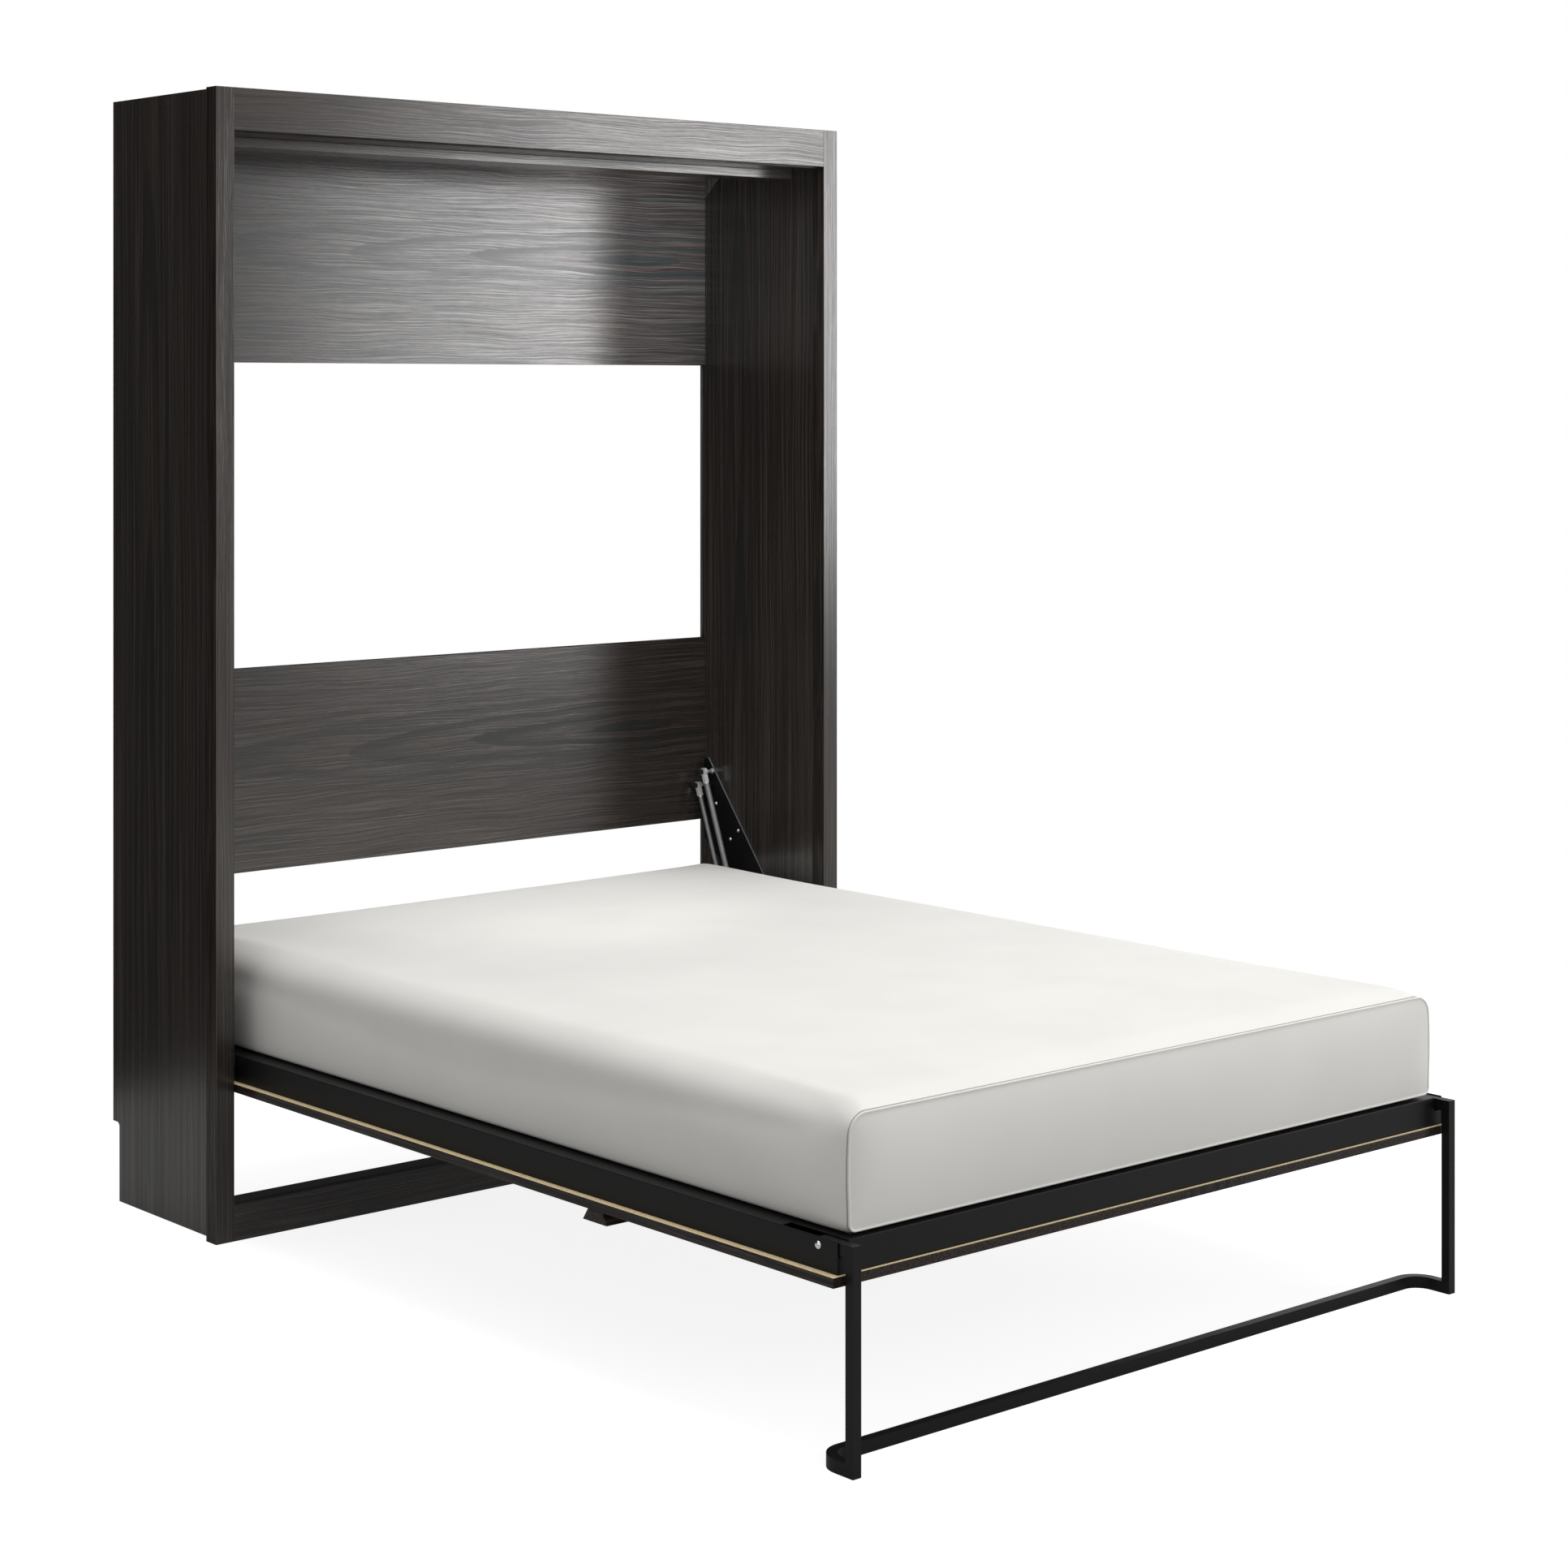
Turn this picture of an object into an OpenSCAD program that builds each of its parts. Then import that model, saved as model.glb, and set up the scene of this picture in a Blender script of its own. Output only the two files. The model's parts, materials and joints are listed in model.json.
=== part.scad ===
// Vertical fold-down wall bed: a cabinet against the wall, a steel bed frame behind a front
// panel that swings up into it on two pivots, four gas springs and a folding foot frame.
// Millimetres, +Z up, +Y towards the wall, origin on the floor under the middle of the open bed.

/* [Cabinet] */
// Width over the two front stiles
cabinet_w = 1629; // [1560:1:1700]
// Height from the floor to the top of the fascia
cabinet_h = 2264; // [2262:1:2320]
// Depth from the front of the stiles to the wall
cabinet_d = 445; // [440:1:480]
// Width of a front stile
stile_w = 41; // [36:1:45]
// Depth of a front stile
stile_d = 38; // [30:1:42]
// Step from the outer edge of a stile back to the side panel
side_inset = 20; // [10:1:24]
// Thickness of the shelf and back boards
board_t = 19; // [18:0.5:20]
// Height of the fascia between the stiles
fascia_h = 84; // [80:1:87]
// Height of the upper back panel
upper_back_h = 449; // [380:1:520]
// Lower edge of the lower back panel above the floor
lower_back_z = 645; // [600:1:700]
// Height of the lower back panel
lower_back_h = 433; // [380:1:480]
// Height of the toe rail
toe_h = 72; // [60:1:73]
// Depth of the toe rail with the board behind it
toe_d = 63; // [50:1:64]
// Depth of the notch that clears the skirting board
skirting_d = 26; // [15:1:30]
// Height of the notch that clears the skirting board
skirting_h = 162; // [100:1:180]

/* [Bed] */
// Underside of the front panel above the floor with the bed down
panel_z = 291; // [286:1:294]
// Thickness of the front panel
panel_t = 16; // [15:0.5:16]
// Gap between the front panel and each stile
panel_gap = 4; // [4:0.5:6]
// Length of the bed in front of the cabinet, to the foot edge of the panel
panel_reach = 1755; // [1700:1:1755]
// Height of the steel frame on the panel
frame_h = 52; // [48:1:52]
// Thickness of the steel sheet in the frame
sheet_t = 2.5; // [2:0.5:3]
// Distance of the handle moulding from the front of the cabinet
handle_reach = 1154; // [900:1:1300]
// Number of slats
slat_count = 14; // [10:1:16]
// Height of the mattress
mattress_h = 203; // [150:1:203]

/* [Foot frame] */
// Width of the square leg tube
leg_w = 17.5; // [15:0.5:17.5]
// Height of the foot bar on the floor
foot_bar_h = 21.5; // [18:0.5:25]
// Outer radius of the bends of the foot bar
foot_bend_r = 50; // [40:1:60]

/* [Gas springs] */
// Radius of the tube of each front gas spring
front_tube_r = 6.2; // [5:0.1:6.4]
// Radius of the tube of each rear gas spring
rear_tube_r = 5; // [4.5:0.1:6]
// Radius of the piston rods
rod_r = 3; // [2.5:0.1:3.5]

/* [Hidden] */
// Cabinet heights, depths and half widths. The y of the front of the stiles is 0 in the
// modules, and in_frame() moves each part to the origin under the middle of the open bed.
leg_front_y = -1780;
front_y = -(leg_front_y + cabinet_d) / 2;
inner_x = cabinet_w / 2 - stile_w;
side_outer_x = cabinet_w / 2 - side_inset;
front_board_t = 18;
back_y = cabinet_d - board_t;
top_board_z = cabinet_h - fascia_h - 3;
top_board_back_y = cabinet_d - 3;
shelf_cam_ys = [90, 360];
back_cam_inset = 60;
batten_y = 113;
batten_d = 98;
batten_t = 20;
notch_r = 9;
dowel_r = 4;
dowel_count = 7;
dowel_from_end = 180;
dowel_reach = 18;
dowel_end_gap = 1;
fit_gap = 0.05;

// Main pivot of the bed: with it here the front panel closes flush with the stiles.
pivot_y = 51.5;
pivot_z = pivot_y + panel_z;
pivot_r = 8;
bush_r = 11;
bush_flange_r = 15;
pivot_plate_t = 3;
plate_x = inner_x - pivot_plate_t;
pin_flange_t = 3;
pin_flange_r = 16;
pin_head_t = 3.5;
pin_head_r = pivot_r + 5;
bush_end_gap = 0.5;

// Pivot plate: a long wing from the main pivot up to the pins of the gas springs
wing_top = pivot_z + 449.5;
wing_front = [402, pivot_z + 438.5];
wing_tip_w = 9;
wing_back_y = 425;
wing_back_z = pivot_z + 257.5;
wing_foot_r = 32;
wing_screws = [for (spot = [[382, 343], [300.5, 286.8], [329.2, 263.8], [200, 127.5], [130, 57.5], [92, 4.5]])
               [spot[0], pivot_z + spot[1]]];

// Steel frame and what it carries
panel_x = inner_x - panel_gap;
panel_head_y = 313;
frame_z = panel_z + panel_t;
frame_top = frame_z + frame_h;
rail_x = 754.5;
rail_inner_x = rail_x - sheet_t;
rail_foot_y = -1748;
foot_web_y = rail_foot_y - 0.5;
foot_web_x = rail_inner_x - 0.5;
rail_head_y = 310;
pin_head_x = rail_inner_x - 2 - pin_head_t;
base_flange = 30;
top_flange = 48;
top_flange_ys = [-1615, 120];
leg_slot = 23;
end_rail_x = 731.5;
end_flange = 24;
inner_foot_y = rail_foot_y + 2 + end_flange;
inner_head_y = rail_head_y - 1 - end_flange;
hinge_plate_t = 4;
hinge_plate_r = 26;
hinge_plate_x = rail_x + hinge_plate_t;
hinge_plate_ys = [150, 298];
hinge_margin = 6;
hinge_corner = 10;
hinge_bolt_r = 4;
hinge_nut_r = 7;
hinge_nut_t = 4;
hinge_bolts_yz = [for (y = [100, 160, 286]) [y, frame_z + 25]];
centre_rail_w = 40;
bearer_t = 2;
slat_t = 12;
slat_w = 60;
slat_ease = 2;
slat_overhang = 2;
slat_side_gap = 2.5;
slat_top = frame_top + 1;
slat_z = slat_top - slat_t;
slat_from_foot = 70;
slat_from_head = 80;
ledge_w = 30;
ledge_outer_x = rail_x - top_flange - slat_side_gap - slat_overhang;
slat_screw_r = 2;
stop_t = 3;
stop_x = 410;
stop_w = 60;
stop_h = 80;
stop_y = 357;
stop_bolt_r = 3;
mattress_x = 730;
mattress_foot_y = -1746;
mattress_head_y = 355;
mattress_top_r = 50;
mattress_base_r = 28;
handle_h = 20;
handle_neck = 39;
handle_face = 66;

// Foot frame
leg_x = rail_inner_x - 0.5;
leg_pivot_y = -1703;
leg_pivot_z = frame_z + 38.5;
leg_top = frame_z + 50;
arm_h = 20;
arm_clearance = 3;
arm_tail = 13;
leg_bolt_r = 4;
leg_bolt_head_r = 6.8;
leg_bolt_head_h = 3.4;
leg_nut_r = 6.5;
leg_nut_t = 5;
leg_stop_y = -1730;
leg_stop_z = leg_pivot_z - 12.8;
leg_stop_r = 4;
foot_bar_y = -1687;

// Gas springs: [upper pin y, z, lower stud y, z] seen from the side, in the open position
front_spring = [394, pivot_z + 419.5, 231, frame_z + 28];
rear_spring = [416, pivot_z + 385.5, 268.5, frame_z + 28];
spring_x = 742.4;
spring_pin_r = 4;
spring_pin_end_x = 724;
spring_collar_r = spring_pin_r + 2.5;
spring_collar_t = 4;
spring_cap_r = 6.5;
eye_w = 11;
eye_len = 30;
eye_flat = 8.6;
tube_cap_t = 4;
rod_end_len = 14;
rod_end_r = rod_r + 2;
rod_end_eye_r = 7.5;
rod_left_out = 22;
stud_r = 4;

// Screws, cams and brackets
cam_r = 7.5;
cam_depth = 13;
cam_from_end = 34;
cam_slot_len = 9;
cam_slot_w = 1.6;
cam_bolt_r = 3;
cam_bolt_grip = 10;
screw_head_r = 4;
screw_head_t = 2;
screw_r = 2.2;
bracket_screw_len = 15;
bracket_screw_ys = [top_board_back_y - 42, top_board_back_y - 20];
bracket_t = 3;
bracket_w = 40;
bracket_leg = 58;
wall_hole_r = 3.5;
wall_hole_z = 40;
wall_spacing = 406.4;

dark_oak = [0.16, 0.14, 0.13];
raw_board = [0.85, 0.76, 0.60];
black_steel = [0.10, 0.10, 0.10];
zinc = [0.75, 0.75, 0.76];

// Helpers -----------------------------------------------------------------------------------

// Moves a part from the cabinet's own front plane to the shared origin
module in_frame() translate([0, front_y, 0]) children();

// The left twin of a part that is drawn on the right
module left_twin() mirror([1, 0, 0]) children();

module both_sides() {
    children();
    left_twin() children();
}

// A box from its lowest to its highest corner
module box(low, high) translate(low) cube(high - low);

// A cylinder along X between two x positions
module rod_x(x0, x1, y, z, r, fn = 48)
    translate([x0, y, z]) rotate([0, 90, 0]) cylinder(r = r, h = x1 - x0, $fn = fn);

// A cylinder along Y between two y positions
module rod_y(y0, y1, x, z, r, fn = 32)
    translate([x, y1, z]) rotate([90, 0, 0]) cylinder(r = r, h = y1 - y0, $fn = fn);

// Points on an arc, from angle a0 to a1, both included
function arc(centre, r, a0, a1, steps) =
    [for (i = [0:steps]) let (a = a0 + (a1 - a0) * i / steps) centre + r * [cos(a), sin(a)]];

// Draws a flat outline of (y, z) points as a plate between two x positions
module plate_yz(x0, x1)
    translate([x0, 0, 0]) rotate([90, 0, 90]) linear_extrude(height = x1 - x0) children();

// Cam joints at both ends of a board: where the cam sits and which way it faces ---------------

// [y of the bolt, z of the bolt, cam faces up instead of back]
back_cams = [for (z = [top_board_z - back_cam_inset, top_board_z - upper_back_h + back_cam_inset,
                       lower_back_z + back_cam_inset, lower_back_z + lower_back_h - back_cam_inset])
             [cabinet_d - board_t / 2, z, false]];
top_cams = [for (y = shelf_cam_ys) [y, top_board_z + board_t / 2, true]];
front_cams = [for (z = [cabinet_h - fascia_h / 2, toe_h / 2]) [front_board_t / 2, z, false]];
all_cams = concat(back_cams, top_cams, front_cams);

// The face that a cam is let into, measured from its bolt
function cam_face(cam) = (cam[2] || cam[0] > front_board_t ? board_t : front_board_t) / 2;

module cam_disc(cam, r, depth) {
    reach = cam_face(cam);
    if (cam[2])
        translate([inner_x - cam_from_end, cam[0], cam[1] + reach - depth])
            cylinder(r = r, h = depth, $fn = 40);
    else
        rod_y(cam[0] + reach - depth, cam[0] + reach, inner_x - cam_from_end, cam[1], r, 40);
}

// Pockets for the cams and holes for their bolts, cut from a board
module cam_pockets(cams)
    both_sides()
        for (cam = cams) {
            cam_disc(cam, cam_r, cam_depth + 1);
            rod_x(inner_x - cam_from_end, inner_x + 1, cam[0], cam[1], cam_bolt_r + 1, 24);
        }

module cam_locks()
    color(zinc)
        in_frame()
            both_sides()
                for (cam = all_cams)
                    difference() {
                        cam_disc(cam, cam_r - fit_gap, cam_depth);
                        // cross slot for the driver
                        translate([inner_x - cam_from_end, cam[0], cam[1]])
                            rotate([cam[2] ? 0 : -90, 0, 0])
                                translate([0, 0, cam_face(cam)]) {
                                    cube([cam_slot_len, cam_slot_w, 2 * cam_slot_w], center = true);
                                    cube([cam_slot_w, cam_slot_len, 2 * cam_slot_w], center = true);
                                }
                        // throat that grips the bolt's head
                        rod_x(inner_x - cam_from_end - cam_bolt_r, inner_x, cam[0], cam[1],
                              cam_bolt_r + 0.5, 24);
                    }

module cam_bolts()
    color(zinc)
        in_frame()
            both_sides()
                for (cam = all_cams)
                    rod_x(inner_x - cam_from_end - cam_bolt_r + 0.5, inner_x + cam_bolt_grip,
                          cam[0], cam[1], cam_bolt_r, 24);

// Holes in the stiles and side panels that the cam bolts screw into
module cam_bolt_holes(cams)
    for (cam = cams)
        rod_x(inner_x - 1, inner_x + cam_bolt_grip, cam[0], cam[1], cam_bolt_r + fit_gap, 24);

// Cabinet -----------------------------------------------------------------------------------

dowel_step = (cabinet_h - 2 * dowel_from_end) / (dowel_count - 1);
dowel_heights = [for (i = [0:dowel_count - 1]) dowel_from_end + i * dowel_step];
dowel_x = (inner_x + side_outer_x) / 2;

module dowel_holes()
    for (z = dowel_heights)
        rod_y(stile_d - dowel_reach, stile_d + dowel_reach, dowel_x, z, dowel_r + fit_gap);

module stile()
    difference() {
        box([inner_x, 0, 0], [cabinet_w / 2, stile_d, cabinet_h]);
        dowel_holes();
        cam_bolt_holes(front_cams);
    }

// Side panel with the notch for the skirting board, its inner corner rounded
module side_panel()
    difference() {
        plate_yz(inner_x, side_outer_x)
            difference() {
                translate([stile_d, 0]) square([cabinet_d - stile_d, cabinet_h]);
                translate([cabinet_d - skirting_d, -1]) square([skirting_d + 1, skirting_h - notch_r + 1]);
                translate([cabinet_d - skirting_d + notch_r, -1]) square([skirting_d, skirting_h + 1]);
                translate([cabinet_d - skirting_d + notch_r, skirting_h - notch_r])
                    circle(r = notch_r, $fn = 40);
            }
        dowel_holes();
        cam_bolt_holes(concat(back_cams, top_cams));
    }

module left_stile() color(dark_oak) in_frame() left_twin() stile();
module right_stile() color(dark_oak) in_frame() stile();
module left_side_panel() color(dark_oak) in_frame() left_twin() side_panel();
module right_side_panel() color(dark_oak) in_frame() side_panel();

module stile_dowels()
    color(raw_board)
        in_frame()
            both_sides()
                for (z = dowel_heights)
                    rod_y(stile_d - dowel_reach + dowel_end_gap, stile_d + dowel_reach - dowel_end_gap,
                          dowel_x, z, dowel_r);

// A board that spans the cabinet, with cams in both ends
module cross_board(y0, y1, z0, z1, cams)
    difference() {
        box([-inner_x, y0, z0], [inner_x, y1, z1]);
        cam_pockets(cams);
    }

module fascia()
    color(dark_oak)
        in_frame()
            cross_board(0, front_board_t, cabinet_h - fascia_h, cabinet_h, [front_cams[0]]);

module toe_rail()
    color(dark_oak)
        in_frame()
            cross_board(0, front_board_t, 0, toe_h, [front_cams[1]]);

module toe_rail_shelf()
    color(dark_oak)
        in_frame()
            box([-inner_x, front_board_t, toe_h - front_board_t], [inner_x, toe_d, toe_h]);

module upper_back_panel()
    color(dark_oak)
        in_frame()
            cross_board(back_y, cabinet_d, top_board_z - upper_back_h, top_board_z,
                        [back_cams[0], back_cams[1]]);

module lower_back_panel()
    color(dark_oak)
        in_frame()
            cross_board(back_y, cabinet_d, lower_back_z, lower_back_z + lower_back_h,
                        [back_cams[2], back_cams[3]]);

// Four wall brackets on the top board, each with two screws
bracket_xs = [for (i = [-1.5:1.5]) i * wall_spacing];

module bracket_screw_holes(r, depth)
    for (x = bracket_xs, y = bracket_screw_ys)
        translate([x, y, top_board_z + board_t - depth]) cylinder(r = r, h = depth + bracket_t + 1, $fn = 24);

module top_board()
    color(dark_oak)
        in_frame()
            difference() {
                cross_board(front_board_t, top_board_back_y, top_board_z, top_board_z + board_t, top_cams);
                bracket_screw_holes(screw_r + fit_gap, bracket_screw_len + 1);
            }

// Batten under the top board that the raised mattress and frame stop against
module stop_batten()
    color(dark_oak)
        in_frame()
            box([-inner_x, batten_y, top_board_z - batten_t],
                [inner_x, batten_y + batten_d, top_board_z]);

// Angle brackets on the top board, one leg flat on the wall
module wall_brackets()
    color(zinc)
        in_frame()
            difference() {
                for (x = bracket_xs) {
                    box([x - bracket_w / 2, cabinet_d - bracket_leg, top_board_z + board_t],
                        [x + bracket_w / 2, cabinet_d, top_board_z + board_t + bracket_t]);
                    box([x - bracket_w / 2, cabinet_d - bracket_t, top_board_z + board_t],
                        [x + bracket_w / 2, cabinet_d, top_board_z + board_t + bracket_leg]);
                }
                bracket_screw_holes(screw_r + fit_gap, 1);
                for (x = bracket_xs)
                    rod_y(cabinet_d - bracket_t - 1, cabinet_d + 1,
                          x, top_board_z + board_t + wall_hole_z, wall_hole_r, 40);
            }

// Pan-head screw pointing down
module pan_screw(length) {
    cylinder(r1 = screw_head_r, r2 = screw_head_r * 0.7, h = screw_head_t, $fn = 24);
    translate([0, 0, -length]) cylinder(r = screw_r, h = length + 0.1, $fn = 24);
}

module bracket_screws()
    color(zinc)
        in_frame()
            for (x = bracket_xs, y = bracket_screw_ys)
                translate([x, y, top_board_z + board_t + bracket_t]) pan_screw(bracket_screw_len);

// Pivot plates on the cabinet ----------------------------------------------------------------

// Its front edge is the sloped one, and its foot is round about the main pivot
wing_outline = concat([wing_front, [wing_front[0] + wing_tip_w, wing_top],
                       [wing_back_y, wing_top], [wing_back_y, wing_back_z]],
                      arc([pivot_y, pivot_z], wing_foot_r, -52, -316, 48));

module pivot_plate()
    difference() {
        plate_yz(plate_x, inner_x) polygon(wing_outline);
        rod_x(plate_x - 1, inner_x + 1, pivot_y, pivot_z, pivot_r + fit_gap);
        for (spring = [front_spring, rear_spring])
            rod_x(plate_x - 1, inner_x + 1, spring[0], spring[1], spring_pin_r + fit_gap, 32);
        for (screw = wing_screws) rod_x(plate_x - 1, inner_x + 1, screw[0], screw[1], screw_r + fit_gap, 24);
    }

module left_pivot_plate() color(black_steel) in_frame() left_twin() pivot_plate();
module right_pivot_plate() color(black_steel) in_frame() pivot_plate();

module plate_screws()
    color(zinc)
        in_frame()
            both_sides()
                for (screw = wing_screws)
                    translate([plate_x, screw[0], screw[1]])
                        rotate([0, -90, 0]) pan_screw(pivot_plate_t - 0.2);

module spring_pins()
    color(zinc)
        in_frame()
            both_sides()
                for (spring = [front_spring, rear_spring]) {
                    rod_x(spring_pin_end_x, inner_x, spring[0], spring[1], spring_pin_r, 32);
                    rod_x(plate_x - spring_collar_t, plate_x, spring[0], spring[1], spring_collar_r, 32);
                }

module spring_pin_caps()
    color(black_steel)
        in_frame()
            both_sides()
                for (spring = [front_spring, rear_spring])
                    difference() {
                        rod_x(spring_pin_end_x - 2, spring_x - eye_w / 2 - 1,
                              spring[0], spring[1], spring_cap_r, 32);
                        rod_x(spring_pin_end_x, spring_x, spring[0], spring[1], spring_pin_r + fit_gap, 32);
                    }

// Shoulder pin: pressed into the cabinet's plate, with a flange at the plate and a head inside
module pivot_pins()
    color(zinc)
        in_frame()
            both_sides() {
                rod_x(pin_head_x, inner_x, pivot_y, pivot_z, pivot_r, 64);
                rod_x(plate_x - pin_flange_t, plate_x, pivot_y, pivot_z, pin_flange_r, 64);
                rod_x(pin_head_x, pin_head_x + pin_head_t, pivot_y, pivot_z, pin_head_r, 64);
            }

// Bed ---------------------------------------------------------------------------------------

module face_panel()
    color(dark_oak)
        in_frame()
            box([-panel_x, -panel_reach, panel_z], [panel_x, panel_head_y, panel_z + panel_t]);

// Dovetail moulding across the panel: fingers hook behind its undercut sides
module handle_moulding()
    color(dark_oak)
        in_frame()
            plate_yz(-panel_x, panel_x)
                translate([-handle_reach, panel_z])
                    polygon([[-handle_neck / 2, 0], [handle_neck / 2, 0],
                             [handle_face / 2, -handle_h], [-handle_face / 2, -handle_h]]);

// Channel with its web outside and a flange lying on the panel. The top flange is slotted beside
// the web at the foot, where the leg folds, and at the head, where the gas springs swing.
module side_rail()
    difference() {
        union() {
            box([rail_inner_x, rail_foot_y, frame_z], [rail_x, rail_head_y, frame_top]);
            box([rail_x - base_flange, inner_foot_y, frame_z], [rail_x, inner_head_y, frame_z + sheet_t]);
            box([rail_x - top_flange, top_flange_ys[0], frame_top - sheet_t],
                [rail_x, top_flange_ys[1], frame_top]);
            box([rail_x - top_flange, inner_foot_y, frame_top - sheet_t],
                [rail_x - leg_slot, inner_head_y, frame_top]);
        }
        rod_x(rail_inner_x - 1, rail_x + 1, pivot_y, pivot_z, bush_r + fit_gap, 64);
        rod_x(rail_inner_x - 1, rail_x + 1, leg_pivot_y, leg_pivot_z, leg_bolt_r + fit_gap);
        for (spot = hinge_bolts_yz)
            rod_x(rail_inner_x - 1, rail_x + 1, spot[0], spot[1], hinge_bolt_r + fit_gap, 32);
    }

module left_side_rail() color(black_steel) in_frame() left_twin() side_rail();
module right_side_rail() color(black_steel) in_frame() side_rail();

// C-section end rail: its web faces away from the mattress
module end_rail(web_y, inward, top)
    plate_yz(-end_rail_x, end_rail_x)
        translate([web_y, frame_z])
            scale([inward, 1]) {
                square([sheet_t, top - frame_z]);
                square([end_flange, sheet_t]);
                translate([0, top - frame_z - sheet_t]) square([end_flange, sheet_t]);
            }

// Its web runs on below the leg's arms and closes the ends of the side rails
module foot_rail()
    color(black_steel)
        in_frame() {
            end_rail(foot_web_y, 1, frame_top);
            box([-foot_web_x, foot_web_y, frame_z],
                [foot_web_x, foot_web_y + sheet_t, leg_top - arm_h - arm_clearance]);
        }

module head_rail() color(black_steel) in_frame() end_rail(rail_head_y, -1, slat_top - stop_t);

// Thin-walled tube along the bed, between two x positions, that carries the slats
module slat_bearer(x0, x1)
    difference() {
        box([x0, inner_foot_y, frame_z], [x1, inner_head_y, slat_z]);
        box([x0 + bearer_t, rail_foot_y, frame_z + bearer_t],
            [x1 - bearer_t, rail_head_y, slat_z - bearer_t]);
    }

module centre_rail() color(black_steel) in_frame() slat_bearer(-centre_rail_w / 2, centre_rail_w / 2);

slat_first_y = rail_foot_y + slat_from_foot;
slat_step = (rail_head_y - slat_from_head - slat_first_y) / (slat_count - 1);
slat_ys = [for (i = [0:slat_count - 1]) slat_first_y + i * slat_step];
slat_screw_xs = [-ledge_outer_x + ledge_w / 2, ledge_outer_x - ledge_w / 2];

module slat_ledges()
    color(black_steel)
        in_frame()
            both_sides() slat_bearer(ledge_outer_x - ledge_w, ledge_outer_x);

// Pine slats with eased long edges
module slats()
    color(raw_board)
        in_frame()
            for (y = slat_ys)
                difference() {
                    plate_yz(-ledge_outer_x - slat_overhang, ledge_outer_x + slat_overhang)
                        translate([y, slat_z])
                            polygon([[-slat_w / 2, 0], [slat_w / 2, 0], [slat_w / 2, slat_t - slat_ease],
                                     [slat_w / 2 - slat_ease, slat_t], [-slat_w / 2 + slat_ease, slat_t],
                                     [-slat_w / 2, slat_t - slat_ease]]);
                    for (x = slat_screw_xs)
                        translate([x, y, slat_z - 1])
                            cylinder(r = slat_screw_r + fit_gap, h = slat_t + 2, $fn = 24);
                }

module slat_screws()
    color(zinc)
        in_frame()
            for (y = slat_ys, x = slat_screw_xs)
                translate([x, y, slat_z + 0.1]) cylinder(r = slat_screw_r, h = slat_t - 0.6, $fn = 24);

// Two angle straps at the head that the mattress stands on when the bed is up
module mattress_stop()
    color(black_steel)
        in_frame()
            both_sides()
                difference() {
                    union() {
                        box([stop_x - stop_w / 2, rail_head_y - end_flange, slat_top - stop_t],
                            [stop_x + stop_w / 2, stop_y + stop_t, slat_top]);
                        box([stop_x - stop_w / 2, stop_y, slat_top - stop_t],
                            [stop_x + stop_w / 2, stop_y + stop_t, slat_top + stop_h]);
                    }
                    for (x = [stop_x - stop_w / 4, stop_x + stop_w / 4])
                        translate([x, rail_head_y - end_flange / 2, slat_top - stop_t - 1])
                            cylinder(r = stop_bolt_r, h = stop_t + 2, $fn = 24);
                }

// Soft block with full round upper edges and a tighter radius at the base
module mattress()
    color([0.93, 0.93, 0.91])
        in_frame()
            hull()
                both_sides()
                    for (end = [[mattress_foot_y, 1], [mattress_head_y, -1]]) {
                        translate([mattress_x - mattress_top_r, end[0] + end[1] * mattress_top_r,
                                   slat_top + mattress_h - mattress_top_r])
                            sphere(r = mattress_top_r, $fn = 32);
                        translate([mattress_x - mattress_base_r, end[0] + end[1] * mattress_base_r,
                                   slat_top + mattress_base_r])
                            sphere(r = mattress_base_r, $fn = 32);
                    }

// Plate on the outside of each side rail that holds the pivot bush
module hinge_plate()
    difference() {
        plate_yz(rail_x, hinge_plate_x)
            polygon(concat([[hinge_plate_ys[1] - hinge_corner, frame_z + hinge_margin],
                            [hinge_plate_ys[1], frame_z + hinge_margin + hinge_corner],
                            [hinge_plate_ys[1], frame_top - hinge_margin - hinge_corner],
                            [hinge_plate_ys[1] - hinge_corner, frame_top - hinge_margin],
                            [hinge_plate_ys[0], frame_top - hinge_margin]],
                           arc([pivot_y, pivot_z], hinge_plate_r, 45, 263, 40)));
        rod_x(rail_x - 1, hinge_plate_x + 1, pivot_y, pivot_z, bush_r + fit_gap, 64);
        for (spot = hinge_bolts_yz)
            rod_x(rail_x - 1, hinge_plate_x + 1, spot[0], spot[1], hinge_bolt_r + fit_gap, 32);
    }

module left_hinge_plate() color(black_steel) in_frame() left_twin() hinge_plate();
module right_hinge_plate() color(black_steel) in_frame() hinge_plate();

// Bolts through the hinge plate and rail, and the nuts of the two spring studs
module hinge_bolts()
    color(zinc)
        in_frame()
            both_sides() {
                for (spot = hinge_bolts_yz) {
                    rod_x(rail_inner_x - 2, hinge_plate_x + hinge_nut_t, spot[0], spot[1], hinge_bolt_r, 32);
                    rod_x(rail_inner_x - 2, rail_inner_x, spot[0], spot[1], hinge_nut_r, 32);
                    rod_x(hinge_plate_x, hinge_plate_x + hinge_nut_t, spot[0], spot[1], hinge_nut_r, 6);
                }
                for (spring = [front_spring, rear_spring])
                    rod_x(hinge_plate_x, hinge_plate_x + hinge_nut_t, spring[2], spring[3], hinge_nut_r, 6);
            }

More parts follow.
